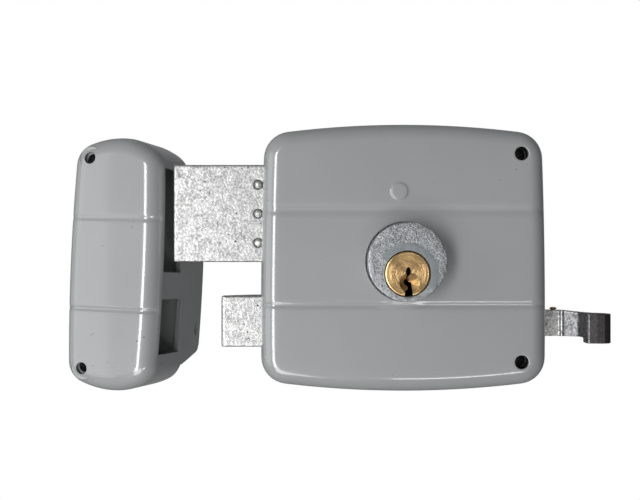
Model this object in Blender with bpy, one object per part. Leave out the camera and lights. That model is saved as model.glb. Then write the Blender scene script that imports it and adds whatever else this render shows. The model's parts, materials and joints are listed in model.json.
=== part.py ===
"""A surface-mounted rim night latch with its box keeper, built piece by piece.

Frame: metres, +Z up. The back of the case lies on the door face at y = 0, the front looks along -Y,
and the bolts point along -X. The origin is the centre of the case on the door face.
"""

import math

import bmesh
import bpy
from mathutils import Euler, Matrix, Vector

MM = 0.001

# ---------------------------------------------------------------- driving dimensions

GAP = 0.3 * MM                 # room left between touching pieces

# case
CASE_WIDTH = 99.0 * MM
CASE_HEIGHT = 93.0 * MM        # at the middle of its crowned top and bottom
CASE_DEPTH = 29.0 * MM
CASE_CROWN = 2.4 * MM          # how far the top and bottom rise towards the middle
CASE_BOW = 0.4 * MM            # how far the sides bulge
CASE_CORNER = 9.5 * MM
CASE_ROLL = 7.5 * MM           # radius of the rolled front edge
CASE_FLARE = 0.26              # widening towards the lower end, per metre of height
WALL = 2.0 * MM
LINE_Z = 16.4 * MM             # embossed lines across the face, above and below the middle
LINE_WIDTH = 1.4 * MM
LINE_DEPTH = 0.45 * MM
DIMPLE = (-1.6 * MM, 23.0 * MM)
DIMPLE_RADIUS = 2.9 * MM
DIMPLE_HEIGHT = 0.35 * MM
FACE_HOLE_X = 40.6 * MM
FACE_HOLE_Z = 36.0 * MM
FACE_HOLE_RADIUS = 2.4 * MM
SLEEVE_RADIUS = 3.8 * MM

# back plate and forend
PLATE = 2.2 * MM
FOREND_X = -46.3 * MM          # outer face of the forend
FOREND_THICKNESS = 2.0 * MM
FOREND_HALF_HEIGHT = 34.0 * MM
FOREND_REACH = 18.0 * MM       # how far it covers the door's edge behind the door face
FOREND_SCREW_Y = 9.0 * MM
FOREND_SCREW_Z = 27.0 * MM
FOREND_SCREW_RADIUS = 2.1 * MM

# key cylinder
CYLINDER_X = 0.4 * MM
HOUSING_Z = -1.3 * MM
HOUSING_RADIUS = 13.4 * MM
HOUSING_FRONT = -38.5 * MM
HOUSING_BACK = -10.0 * MM
HOUSING_REAR_RADIUS = 12.0 * MM
FLANGE_RADIUS = 15.5 * MM
FLANGE_Y = (-CASE_DEPTH + WALL + GAP, -24.9 * MM)
EAR_RADIUS = 3.4 * MM
POST_Z = -11.4 * MM            # the two screwed posts behind the flange
POST_OFFSET = 13.6 * MM
POST_RADIUS = 2.6 * MM
POST_BORE = 1.75 * MM
SCREW_RADIUS = 1.5 * MM
SCREW_HEAD_RADIUS = 2.85 * MM
PLUG_Z = -5.3 * MM
PLUG_RADIUS = 7.45 * MM
PLUG_FRONT = -38.2 * MM
PLUG_BORE = 7.65 * MM
PLUG_BODY_BACK = -9.75 * MM    # from here a groove for the ring, a collar and the spindle follow
RING_GROOVE_BACK = -8.95 * MM
COLLAR_BACK = -8.55 * MM
SPINDLE_BACK = -4.5 * MM
RING_GROOVE_RADIUS = 6.2 * MM
COLLAR_RADIUS = 6.9 * MM
SPINDLE_RADIUS = 2.8 * MM
RING_RADII = (9.0 * MM, 6.45 * MM)
KEYWAY_BACK = -11.0 * MM
KEYWAY_WIDTH = 1.5 * MM
PIN_COUNT = 5
PIN_PITCH = 2.8 * MM
PIN_FIRST_Y = -23.3 * MM
PIN_RADIUS = 1.0 * MM
PIN_BORE = 1.25 * MM
KEY_PIN_LENGTHS = (3.6, 4.4, 3.2, 4.8, 3.9)
DRIVER_LENGTH = 3.4 * MM
SHEAR_Z = PLUG_Z + PLUG_RADIUS
PIN_SPRING_TOP = 9.7 * MM
STRIP_Z = (10.2 * MM, 11.0 * MM)
STRIP_Y = (-24.5 * MM, -10.2 * MM)
STRIP_HALF_WIDTH = 2.3 * MM
TAIL_BAR_RADIUS = 4.0 * MM     # hole in the back plate for a cylinder's tail bar

# rack and pinion that throw the deadbolt
MODULE = 1.0 * MM
PINION_TEETH = 10
PITCH_RADIUS = MODULE * PINION_TEETH / 2
PRESSURE_ANGLE = math.radians(25)
TOOTH_PITCH = math.pi * MODULE
BACKLASH = 0.36 * MM           # taken half off each gear
PINION_TIP = 5.75 * MM
PINION_ROOT = 3.9 * MM
RACK_ADDENDUM = 0.72 * MM
RACK_DEDENDUM = 1.1 * MM
RACK_LINE = PLUG_Z + PITCH_RADIUS
RACK_FIRST, RACK_LAST = -12, 1
PINION_Y = (-8.3 * MM, -4.9 * MM)
PINION_BORE = 3.0 * MM

# deadbolt
BOLT_Y = (-20.0 * MM, -8.0 * MM)
DEADBOLT_X = (-80.8 * MM, -47.0 * MM)
DEADBOLT_Z = (-1.6 * MM, 32.9 * MM)
TAIL_Y = (-7.7 * MM, -5.2 * MM)
TAIL_TOP = 15.0 * MM
TAIL_HEAD_TOP = 30.0 * MM
TAIL_LEFT = -56.5 * MM
TAIL_STEP = -44.0 * MM
TAIL_RIGHT = 9.0 * MM
RIVET_X = -50.8 * MM
RIVET_Z = {"upper": 25.9 * MM, "middle": 15.6 * MM, "lower": 5.3 * MM}
RIVET_RADIUS = 1.45 * MM
GUIDE_PIN_X = {"left": -10.0 * MM, "right": 1.0 * MM}
GUIDE_Z = 9.0 * MM
GUIDE_RADIUS = 1.7 * MM
GUIDE_SLOT = (-44.0 * MM, 3.4 * MM)
NOTCH_X = (-39.4 * MM, -8.0 * MM)
NOTCH_DEPTH = 1.6 * MM
DETENT_PIVOT = (18.0 * MM, 24.0 * MM)
DETENT_BORE = 1.5 * MM
PIVOT_PIN_RADIUS = 1.3 * MM

# latch
LATCH_X = (-64.0 * MM, -34.0 * MM)
LATCH_Z = (-31.6 * MM, -13.5 * MM)
ROD_Y = (-12.6 * MM, -9.6 * MM)
ROD_Z = (-27.9 * MM, -18.9 * MM)
TONGUE_Z = (-25.6 * MM, -21.4 * MM)
ROD_SHOULDER_X = 49.9 * MM
TONGUE_END = 57.4 * MM
PULL_RIVET_X = 55.4 * MM
LATCH_TRAVEL = 13.0 * MM
SPRING_STOP_X = -8.0 * MM
SPRING_LINE_Y = -16.9 * MM
RIVET_HOLE = 1.1 * MM
CURL_HOLE = (69.6 * MM, -20.6 * MM)
CURL_HOLE_RADIUS = 1.5 * MM
GRIP_LEFT = 66.0 * MM
GRIP_TOP_DROP = 0.9 * MM
GRIP_BOTTOM_DROP = 2.2 * MM

# keeper, in its own frame: u across its face, w back from its face, v up
KEEPER_CENTRE = Vector((-103.97, -15.91, -2.18)) * MM
KEEPER_TURN = Euler((math.radians(-1.2), math.radians(2.1), math.radians(-15.4)), "ZXY")
KEEPER_WIDTH = 36.9 * MM
KEEPER_HEIGHT = 91.7 * MM
KEEPER_DEPTH = 26.0 * MM
KEEPER_CROWN = 1.8 * MM
KEEPER_BOW = 0.9 * MM
KEEPER_CORNER = 8.5 * MM
KEEPER_ROLL = 6.5 * MM
SIDE_DEPTH = 42.6 * MM         # how far back the side plate reaches
SIDE_START = 6.4 * MM
SIDE_HALF = 36.4 * MM
KEEPER_HOLE_U = -9.9 * MM
KEEPER_HOLE_V = 38.0 * MM
KEEPER_HOLE_RADIUS = 2.2 * MM
DEAD_WINDOW = (-2.3 * MM, 35.0 * MM)
LATCH_WINDOW = (-31.9 * MM, -11.9 * MM)
WINDOW_DEPTH = (7.4 * MM, 21.8 * MM)
SIDE_CORNER = 4.0 * MM
KEEPER_SCREW = (38.4 * MM, -24.6 * MM)
KEEPER_SCREW_RADIUS = 2.1 * MM
KEEPER_BACK_THICKNESS = 1.6 * MM

# cutters run well past what they cut
FAR_FRONT = -50.0 * MM
FAR_BACK = 10.0 * MM
FAR_LEFT = -60.0 * MM
FAR_RIGHT = 80.0 * MM
FAR_ABOVE = 20.0 * MM
THROUGH_PLATE = (-FAR_BACK, FAR_BACK)


# ---------------------------------------------------------------- materials

FINISHES = {
    "grey_enamel": ((0.33, 0.34, 0.35, 1), 0.0, 0.25),
    "zinc_casting": ((0.62, 0.63, 0.64, 1), 1.0, 0.42),
    "zinc_plate": ((0.70, 0.71, 0.72, 1), 1.0, 0.35),
    "brass": ((0.76, 0.55, 0.25, 1), 1.0, 0.30),
    "steel": ((0.45, 0.46, 0.48, 1), 1.0, 0.38),
    "spring_steel": ((0.30, 0.30, 0.32, 1), 1.0, 0.32),
}


def make_material(name):
    colour, metallic, roughness = FINISHES[name]
    material = bpy.data.materials.new(name)
    material.use_nodes = True
    shader = material.node_tree.nodes["Principled BSDF"]
    shader.inputs["Base Color"].default_value = colour
    shader.inputs["Metallic"].default_value = metallic
    shader.inputs["Roughness"].default_value = roughness
    return material


# ---------------------------------------------------------------- mesh helpers

def finish_mesh(name, bm, finish, smooth=False):
    """Turn a bmesh into a named object with one material."""
    bmesh.ops.recalc_face_normals(bm, faces=bm.faces)
    mesh = bpy.data.meshes.new(name)
    bm.to_mesh(mesh)
    bm.free()
    obj = bpy.data.objects.new(name, mesh)
    bpy.context.collection.objects.link(obj)
    if finish:
        mesh.materials.append(MATERIALS[finish])
    if smooth:
        mesh.shade_smooth()
        mesh.set_sharp_from_angle(angle=math.radians(35))
    return obj


def place(axis, a, b, t):
    """A point whose distance along the named axis is t and whose other two coordinates are a and b."""
    if axis == "X":
        return (t, a, b)
    if axis == "Y":
        return (a, t, b)
    return (a, b, t)


def prism(name, outline, axis, low, high, finish):
    """Extrude a flat outline along one axis, from low to high."""
    bm = bmesh.new()
    rings = [[bm.verts.new(place(axis, a, b, t)) for a, b in outline] for t in (low, high)]
    bm.faces.new(rings[0])
    bm.faces.new(reversed(rings[1]))
    count = len(outline)
    for i in range(count):
        j = (i + 1) % count
        bm.faces.new((rings[0][i], rings[0][j], rings[1][j], rings[1][i]))
    return finish_mesh(name, bm, finish)


def block(name, x, y, z, finish):
    """A box between the low and high values of each axis."""
    outline = [(x[0], z[0]), (x[1], z[0]), (x[1], z[1]), (x[0], z[1])]
    return prism(name, outline, "Y", y[0], y[1], finish)


def turned(name, profile, axis, centre, finish, segments=16):
    """Turn a closed profile of (radius, distance) points about an axis through centre (a, b)."""
    bm = bmesh.new()
    rings = []
    for radius, along in profile:
        steps = segments if radius > 0 else 1
        ring = []
        for k in range(steps):
            angle = 2 * math.pi * k / segments
            a = centre[0] + radius * math.cos(angle)
            b = centre[1] + radius * math.sin(angle)
            ring.append(bm.verts.new(place(axis, a, b, along)))
        rings.append(ring)
    pairs = list(zip(rings, rings[1:]))
    if profile[0][0] > 0:
        pairs.append((rings[-1], rings[0]))
    for first, second in pairs:
        bridge(bm, first, second, segments)
    return finish_mesh(name, bm, finish, smooth=True)


def bridge(bm, first, second, segments):
    """Join two rings, either of which may be a single point on the axis."""
    for k in range(segments):
        n = (k + 1) % segments
        corners = [first[k % len(first)], first[n % len(first)]]
        corners += [second[n % len(second)], second[k % len(second)]]
        unique = list(dict.fromkeys(corners))
        bm.faces.new(unique)


def rod(name, radius, axis, centre, low, high, finish, segments=16):
    """A plain round bar."""
    profile = [(0, low), (radius, low), (radius, high), (0, high)]
    return turned(name, profile, axis, centre, finish, segments)


def tube(name, outer, inner, axis, centre, low, high, finish, segments=16):
    """A round bar with a hole along it."""
    profile = [(inner, low), (outer, low), (outer, high), (inner, high)]
    return turned(name, profile, axis, centre, finish, segments)


def coil(name, axis, centre, low, high, radius, wire, turns, finish, per_turn=9, sides=5):
    """A round-wire helix along an axis, with its ends closed."""
    bm = bmesh.new()
    steps = int(turns * per_turn)
    run = high - low - 2 * wire
    rings = []
    for i in range(steps + 1):
        angle = 2 * math.pi * i / per_turn
        outward = (math.cos(angle), math.sin(angle))
        middle = low + wire + run * i / steps
        ring = []
        for s in range(sides):
            turn = 2 * math.pi * s / sides
            r = radius + wire * math.cos(turn)
            along = middle + wire * math.sin(turn)
            a, b = centre[0] + r * outward[0], centre[1] + r * outward[1]
            ring.append(bm.verts.new(place(axis, a, b, along)))
        rings.append(ring)
    for first, second in zip(rings, rings[1:]):
        bridge(bm, first, second, sides)
    bm.faces.new(rings[0])
    bm.faces.new(reversed(rings[-1]))
    return finish_mesh(name, bm, finish, smooth=True)


def combine(obj, other, operation):
    """Cut or join another object with a live Boolean, and keep the other as a guide."""
    other.hide_render = True
    other.display_type = "WIRE"
    modifier = obj.modifiers.new(other.name, "BOOLEAN")
    modifier.operation = operation
    modifier.object = other
    modifier.solver = "EXACT"
    return obj


def cut(obj, *cutters):
    for cutter in cutters:
        combine(obj, cutter, "DIFFERENCE")


def round_edges(obj, width, segments=2):
    modifier = obj.modifiers.new("edges", "BEVEL")
    modifier.width = width
    modifier.segments = segments
    modifier.limit_method = "ANGLE"
    modifier.angle_limit = math.radians(40)


def crowned_outline(width, height, crown, bow, corner, inset, flare=0.0, along=7, around=4):
    """Points of a box outline with crowned ends, bowed sides and round corners, moved in by inset.

    The outline is an inner four-sided curve, with every point pushed out by the corner radius.
    """
    half_w = width / 2 - corner - bow
    half_h = height / 2 - corner - crown
    push = corner - inset
    top = [(-half_w + 2 * half_w * i / along) for i in range(along + 1)]
    side = [(-half_h + 2 * half_h * i / along) for i in range(along + 1)]
    top_points = []
    for x in top:
        normal = Vector((2 * crown * x / half_w ** 2, 1)).normalized()
        top_points.append((Vector((x, half_h + crown * (1 - (x / half_w) ** 2))), normal))
    right_points = []
    for z in side:
        normal = Vector((1, 2 * bow * z / half_h ** 2)).normalized()
        right_points.append((Vector((half_w + bow * (1 - (z / half_h) ** 2), z)), normal))
    upper_right = top_points + corner_fan(top_points[-1], right_points[-1], around)
    points = upper_right + right_points[::-1]
    points += corner_fan(right_points[0], mirrored(top_points[-1], 1, -1), around)
    points += [mirrored(p, 1, -1) for p in top_points[::-1]]
    points += corner_fan(mirrored(top_points[0], 1, -1), mirrored(right_points[0], -1, 1), around)
    points += [mirrored(p, -1, 1) for p in right_points]
    points += corner_fan(mirrored(right_points[-1], -1, 1), top_points[0], around)
    outline = []
    for point, normal in points:
        moved = point + normal * push
        outline.append((moved.x * (1 - flare * moved.y), moved.y))
    return outline


def mirrored(pair, sx, sz):
    point, normal = pair
    return Vector((point.x * sx, point.y * sz)), Vector((normal.x * sx, normal.y * sz))


def corner_fan(start, end, around):
    """Directions between two neighbouring sides, all from their shared corner."""
    fan = []
    for i in range(1, around):
        t = i / around
        fan.append((start[0].lerp(end[0], t), start[1].slerp(end[1], t)))
    return fan


def rolled_shell(name, shape, depth, roll, wall, finish, rings=4):
    """An open-backed pan: straight walls, a rolled front edge and a flat front at y = -depth."""
    bm = bmesh.new()

    def ring(inset, y):
        return [bm.verts.new((x, y, z)) for x, z in crowned_outline(inset=inset, **shape)]

    def skin(offset):
        radius = roll - offset
        loops = [ring(offset, 0.0), ring(offset, -(depth - roll))]
        for k in range(1, rings + 1):
            angle = math.pi / 2 * k / rings
            inset = offset + radius * (1 - math.cos(angle))
            loops.append(ring(inset, -(depth - roll) - radius * math.sin(angle)))
        return loops

    outer = skin(0.0)
    inner = skin(wall)
    count = len(outer[0])
    for loops in (outer, inner):
        for first, second in zip(loops, loops[1:]):
            bridge(bm, first, second, count)
        bm.faces.new(loops[-1])
    bridge(bm, outer[0], inner[0], count)
    return finish_mesh(name, bm, finish, smooth=True)


# ---------------------------------------------------------------- case

def case_shape():
    return {"width": CASE_WIDTH, "height": CASE_HEIGHT, "crown": CASE_CROWN, "bow": CASE_BOW,
            "corner": CASE_CORNER, "flare": CASE_FLARE}


def build_case_cover():
    cover = rolled_shell("case_cover", case_shape(), CASE_DEPTH, CASE_ROLL, WALL, "grey_enamel")
    centre = (CYLINDER_X, HOUSING_Z)
    cut(cover, rod("cylinder_opening", HOUSING_RADIUS + GAP, "Y", centre, FAR_FRONT, BOLT_Y[0], None, 40))
    for z in (-FACE_HOLE_Z, FACE_HOLE_Z):
        hole = rod(f"face_hole_{'upper' if z > 0 else 'lower'}", FACE_HOLE_RADIUS, "Y", (FACE_HOLE_X, z),
                   FAR_FRONT, BOLT_Y[0], None, 20)
        cut(cover, hole)
    outside = (FAR_LEFT, FOREND_X)
    bolt_depth = (BOLT_Y[0] - 2 * GAP, TAIL_Y[1] + 1.2 * MM)
    cut(cover, block("deadbolt_opening", outside, bolt_depth, widened(DEADBOLT_Z, 2 * GAP), None))
    cut(cover, block("latch_opening", outside, widened(BOLT_Y, 2 * GAP), widened(LATCH_Z, 2 * GAP), None))
    outside = (CASE_WIDTH / 2 - 2 * WALL, FAR_RIGHT)
    cut(cover, block("pull_opening", outside, widened(ROD_Y, 2 * GAP), widened(ROD_Z, 2 * GAP), None))
    for z in (-LINE_Z, LINE_Z):
        groove = prism(f"line_{'upper' if z > 0 else 'lower'}", groove_section(z), "X",
                       -CASE_WIDTH / 2 + CASE_ROLL, CASE_WIDTH / 2 - CASE_ROLL, None)
        cut(cover, groove)
    raised = -CASE_DEPTH - DIMPLE_HEIGHT
    dimple = rod("dimple_shape", DIMPLE_RADIUS, "Y", DIMPLE, raised, -CASE_DEPTH + 1 * MM, None, 20)
    combine(cover, dimple, "UNION")
    return cover


def groove_section(z):
    """A three-sided section whose point sinks into the face by the line's depth."""
    front = -CASE_DEPTH
    above = 1 * MM
    half = LINE_WIDTH / 2 * (LINE_DEPTH + above) / LINE_DEPTH
    return [(front + LINE_DEPTH, z), (front - above, z - half), (front - above, z + half)]


def widened(span, by):
    return (span[0] - by, span[1] + by)


def build_back_plate():
    shape = case_shape()
    outline = crowned_outline(inset=WALL + GAP, **shape)
    plate = prism("back_plate", outline, "Y", -PLATE, 0.0, "zinc_plate")
    forend_side = FOREND_X + FOREND_THICKNESS + GAP
    whole_height = (-CASE_HEIGHT, CASE_HEIGHT)
    cut(plate, block("forend_side", (FAR_LEFT, forend_side), THROUGH_PLATE, whole_height, None))
    centre = (CYLINDER_X, PLUG_Z)
    cut(plate, rod("tail_bar_opening", TAIL_BAR_RADIUS, "Y", centre, *THROUGH_PLATE, None, 20))
    for z in (-FACE_HOLE_Z, FACE_HOLE_Z):
        name = f"fixing_hole_{'upper' if z > 0 else 'lower'}"
        cut(plate, rod(name, FACE_HOLE_RADIUS, "Y", (FACE_HOLE_X, z), *THROUGH_PLATE, None, 16))
    for side, x in GUIDE_PIN_X.items():
        radius = GUIDE_RADIUS + GAP / 2
        cut(plate, rod(f"guide_hole_{side}", radius, "Y", (x, GUIDE_Z), *THROUGH_PLATE, None, 14))
    for side, x in post_places().items():
        name = f"post_screw_hole_{side}"
        shank, past = SCREW_RADIUS + GAP, 0.25 * MM
        profile = [(0, -FAR_BACK), (shank, -FAR_BACK), (shank, -1.45 * MM), (3.5 * MM, past), (0, past)]
        cut(plate, turned(name, profile, "Y", (x, POST_Z), None, 16))
    cut(plate, rod("detent_hole", PIVOT_PIN_RADIUS + GAP / 2, "Y", DETENT_PIVOT, *THROUGH_PLATE, None, 14))
    return plate


def build_forend_plate():
    inner = FOREND_X + FOREND_THICKNESS
    front = -CASE_DEPTH + CASE_ROLL - 0.8 * MM
    half, round_off = FOREND_HALF_HEIGHT, 4.0 * MM
    outline = [(front, -half), (FOREND_REACH - round_off, -half), (FOREND_REACH, -half + round_off),
               (FOREND_REACH, half - round_off), (FOREND_REACH - round_off, half), (front, half)]
    plate = prism("forend_plate", outline, "X", FOREND_X, inner, "zinc_plate")
    through = (FOREND_X - 1 * MM, inner + 1 * MM)
    bolt_depth = (BOLT_Y[0] - GAP, TAIL_Y[1] + 1.2 * MM)
    cut(plate, block("forend_deadbolt_hole", through, bolt_depth, widened(DEADBOLT_Z, GAP), None))
    cut(plate, block("forend_latch_hole", through, widened(BOLT_Y, GAP), widened(LATCH_Z, GAP), None))
    for side, z in (("upper", FOREND_SCREW_Z), ("lower", -FOREND_SCREW_Z)):
        centre = (FOREND_SCREW_Y, z)
        cut(plate, rod(f"forend_screw_hole_{side}", FOREND_SCREW_RADIUS, "X", centre, *through, None, 16))
    return plate


def build_fixing_sleeves():
    for side, z in (("upper", FACE_HOLE_Z), ("lower", -FACE_HOLE_Z)):
        tube(f"fixing_sleeve_{side}", SLEEVE_RADIUS, FACE_HOLE_RADIUS + 0.2 * MM, "Y", (FACE_HOLE_X, z),
             -CASE_DEPTH + CASE_ROLL, -PLATE - GAP, "steel", 16)


# ---------------------------------------------------------------- key cylinder

def post_places():
    return {"left": CYLINDER_X - POST_OFFSET, "right": CYLINDER_X + POST_OFFSET}


def build_cylinder_housing():
    chamfer = 0.6 * MM
    profile = [(0, HOUSING_FRONT), (HOUSING_RADIUS - chamfer, HOUSING_FRONT),
               (HOUSING_RADIUS, HOUSING_FRONT + chamfer), (HOUSING_RADIUS, FLANGE_Y[0]),
               (FLANGE_RADIUS, FLANGE_Y[0]), (FLANGE_RADIUS, FLANGE_Y[1]),
               (HOUSING_REAR_RADIUS, FLANGE_Y[1]), (HOUSING_REAR_RADIUS, HOUSING_BACK), (0, HOUSING_BACK)]
    housing = turned("cylinder_housing", profile, "Y", (CYLINDER_X, HOUSING_Z), "zinc_casting", 40)
    for side, x in post_places().items():
        ear = rod(f"flange_ear_{side}", EAR_RADIUS, "Y", (x, POST_Z), FLANGE_Y[0] + GAP / 3,
                  FLANGE_Y[1] - GAP / 3, None, 16)
        combine(housing, ear, "UNION")
    cut(housing, rod("plug_bore", PLUG_BORE, "Y", (CYLINDER_X, PLUG_Z), FAR_FRONT, 0.0, None, 32))
    for k in range(PIN_COUNT):
        y = PIN_FIRST_Y + k * PIN_PITCH
        at = (CYLINDER_X, y)
        cut(housing, rod(f"pin_chamber_{k + 1}", PIN_BORE, "Z", at, PLUG_Z, FAR_ABOVE, None, 12))
    seat_half = STRIP_HALF_WIDTH + GAP
    strip_seat = block("strip_seat", (CYLINDER_X - seat_half, CYLINDER_X + seat_half),
                       (STRIP_Y[0] - GAP, -9.0 * MM), (STRIP_Z[0] - 0.2 * MM, FAR_ABOVE), None)
    cut(housing, strip_seat)
    return housing


def keyway_outline():
    """A stepped key slot that opens at the bottom of the plug, in the plug's own x and z."""
    half = KEYWAY_WIDTH / 2
    return [(-half, 1.2 * MM), (half, 1.2 * MM), (half, -1.6 * MM), (half + 0.9 * MM, -2.2 * MM),
            (half + 0.9 * MM, -3.6 * MM), (half, -4.2 * MM), (half, -8.5 * MM), (-half, -8.5 * MM),
            (-half, -5.6 * MM), (-half - 0.8 * MM, -5.0 * MM), (-half - 0.8 * MM, -3.2 * MM),
            (-half, -2.6 * MM)]


def build_cylinder_plug():
    groove, collar, spindle = RING_GROOVE_RADIUS, COLLAR_RADIUS, SPINDLE_RADIUS
    profile = [(0, PLUG_FRONT), (PLUG_RADIUS - 0.3 * MM, PLUG_FRONT), (PLUG_RADIUS, PLUG_FRONT + 0.3 * MM),
               (PLUG_RADIUS, PLUG_BODY_BACK), (groove, PLUG_BODY_BACK), (groove, RING_GROOVE_BACK),
               (collar, RING_GROOVE_BACK), (collar, COLLAR_BACK), (spindle, COLLAR_BACK),
               (spindle, SPINDLE_BACK), (0, SPINDLE_BACK)]
    plug = turned("cylinder_plug", profile, "Y", (CYLINDER_X, PLUG_Z), "brass", 32)
    slot = [(x + CYLINDER_X, z + PLUG_Z) for x, z in keyway_outline()]
    cut(plug, prism("key_slot", slot, "Y", FAR_FRONT, KEYWAY_BACK, None))
    wide, narrow, deep = (4.2 * MM, -40.0 * MM), 0.9 * MM, -36.4 * MM
    mouth = [(0, wide[1]), wide, (narrow, deep), (0, deep)]
    cut(plug, turned("key_slot_mouth", mouth, "Y", (CYLINDER_X, PLUG_Z - 3.1 * MM), None, 20))
    for k in range(PIN_COUNT):
        y = PIN_FIRST_Y + k * PIN_PITCH
        at = (CYLINDER_X, y)
        cut(plug, rod(f"plug_chamber_{k + 1}", PIN_BORE, "Z", at, PLUG_Z - 1 * MM, FAR_ABOVE, None, 12))
    return plug


def build_plug_ring():
    """An open ring that keeps the plug in the housing."""
    outer, inner = RING_RADII
    open_half = math.radians(22)
    steps = 18
    arc = [math.pi / 2 + open_half + (2 * math.pi - 2 * open_half) * i / steps for i in range(steps + 1)]
    outline = [(CYLINDER_X + outer * math.cos(a), PLUG_Z + outer * math.sin(a)) for a in arc]
    outline += [(CYLINDER_X + inner * math.cos(a), PLUG_Z + inner * math.sin(a)) for a in reversed(arc)]
    front, back = PLUG_BODY_BACK + GAP / 3, RING_GROOVE_BACK - GAP / 3
    return prism("plug_retaining_ring", outline, "Y", front, back, "spring_steel")


def involute_angle(radius, base):
    """How far an involute that starts on the base circle has turned when it reaches a radius."""
    pressure = math.acos(base / radius)
    return math.tan(pressure) - pressure


def pinion_outline():
    base = PITCH_RADIUS * math.cos(PRESSURE_ANGLE)
    half_tooth = (TOOTH_PITCH / 2 - BACKLASH / 2) / 2 / PITCH_RADIUS
    at_pitch = involute_angle(PITCH_RADIUS, base)
    radii = [base + (PINION_TIP - base) * i / 4 for i in range(5)]
    flank = [(r, half_tooth + at_pitch - involute_angle(r, base)) for r in radii]
    flank.insert(0, (PINION_ROOT, flank[0][1]))
    outline = []
    for tooth in range(PINION_TEETH):
        middle = math.pi / 2 - 2 * math.pi * tooth / PINION_TEETH
        outline += [(r, middle + a) for r, a in flank]
        outline += [(r, middle - a) for r, a in reversed(flank)]
    return [(CYLINDER_X + r * math.cos(a), PLUG_Z + r * math.sin(a)) for r, a in outline]


def build_pinion():
    pinion = prism("drive_pinion", pinion_outline(), "Y", PINION_Y[0], PINION_Y[1], "steel")
    cut(pinion, rod("pinion_bore", PINION_BORE, "Y", (CYLINDER_X, PLUG_Z), -FAR_BACK, 0.0, None, 20))
    return pinion


def build_pins():
    """Key pins, drivers and springs, drawn as the right key holds them, so that the plug can turn."""
    for k in range(PIN_COUNT):
        y = PIN_FIRST_Y + k * PIN_PITCH
        at = (CYLINDER_X, y)
        top = SHEAR_Z - 0.25 * MM
        bottom = top - KEY_PIN_LENGTHS[k] * MM
        tip = [(0, bottom), (0.35 * MM, bottom), (PIN_RADIUS, bottom + 0.7 * MM), (PIN_RADIUS, top), (0, top)]
        turned(f"key_pin_{k + 1}", tip, "Z", at, "brass", 10)
        low = PLUG_Z + PLUG_BORE + 0.1 * MM
        rod(f"driver_pin_{k + 1}", PIN_RADIUS, "Z", at, low, low + DRIVER_LENGTH, "brass", 10)
        coil(f"pin_spring_{k + 1}", "Z", at, low + DRIVER_LENGTH + 0.2 * MM, PIN_SPRING_TOP,
             0.75 * MM, 0.18 * MM, 4, "spring_steel", per_turn=7, sides=4)
    across = (CYLINDER_X - STRIP_HALF_WIDTH, CYLINDER_X + STRIP_HALF_WIDTH)
    block("spring_cover_strip", across, STRIP_Y, STRIP_Z, "zinc_plate")


def build_cylinder_fixings():
    for side, x in post_places().items():
        front, back = FLANGE_Y[1] + GAP, -PLATE - GAP
        tube(f"cylinder_post_{side}", POST_RADIUS, POST_BORE, "Y", (x, POST_Z), front, back, "steel", 16)
        tip, neck, face = -10.0 * MM, -1.5 * MM, -0.15 * MM
        profile = [(0, tip), (SCREW_RADIUS, tip), (SCREW_RADIUS, neck), (SCREW_HEAD_RADIUS, face), (0, face)]
        screw = turned(f"cylinder_screw_{side}", profile, "Y", (x, POST_Z), "steel", 16)
        cut(screw, block(f"screw_slot_{side}", (x - 4 * MM, x + 4 * MM), (-0.8 * MM, 1 * MM),
                         (POST_Z - 0.35 * MM, POST_Z + 0.35 * MM), None))


# ---------------------------------------------------------------- deadbolt

def build_deadbolt_head():
    head = block("deadbolt_head", DEADBOLT_X, BOLT_Y, DEADBOLT_Z, "zinc_casting")
    round_edges(head, 0.6 * MM)
    for side, z in RIVET_Z.items():
        radius = RIVET_RADIUS + GAP / 2
        cut(head, rod(f"head_rivet_hole_{side}", radius, "Y", (RIVET_X, z), FAR_FRONT, 0.0, None, 16))
    return head


def rack_profile():
    """The toothed lower edge, from right to left."""
    half_pitch_width = (TOOTH_PITCH / 2 - BACKLASH / 2) / 2
    slope = math.tan(PRESSURE_ANGLE)
    tip_half = half_pitch_width - RACK_ADDENDUM * slope
    root_half = half_pitch_width + RACK_DEDENDUM * slope
    tip, root = RACK_LINE - RACK_ADDENDUM, RACK_LINE + RACK_DEDENDUM
    points = []
    for k in range(RACK_LAST, RACK_FIRST - 1, -1):
        x = CYLINDER_X + (k + 0.5) * TOOTH_PITCH
        points += [(x + root_half, root), (x + tip_half, tip), (x - tip_half, tip), (x - root_half, root)]
    return points


def build_deadbolt_tail():
    root = RACK_LINE + RACK_DEDENDUM
    outline = [(TAIL_RIGHT, root)] + rack_profile() + [(TAIL_LEFT, root), (TAIL_LEFT, TAIL_HEAD_TOP),
                                                       (TAIL_STEP, TAIL_HEAD_TOP), (TAIL_STEP, TAIL_TOP)]
    for x in NOTCH_X:
        outline += [(x - NOTCH_DEPTH, TAIL_TOP), (x, TAIL_TOP - NOTCH_DEPTH), (x + NOTCH_DEPTH, TAIL_TOP)]
    outline += [(TAIL_RIGHT, TAIL_TOP)]
    tail = prism("deadbolt_tail", outline, "Y", TAIL_Y[0], TAIL_Y[1], "steel")
    half = GUIDE_RADIUS + GAP
    cut(tail, block("guide_slot", GUIDE_SLOT, (-FAR_BACK, 0.0), (GUIDE_Z - half, GUIDE_Z + half), None))
    for side, z in RIVET_Z.items():
        radius = RIVET_RADIUS + GAP / 2
        cut(tail, rod(f"tail_rivet_hole_{side}", radius, "Y", (RIVET_X, z), FAR_FRONT, 0.0, None, 16))
    return tail


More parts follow.
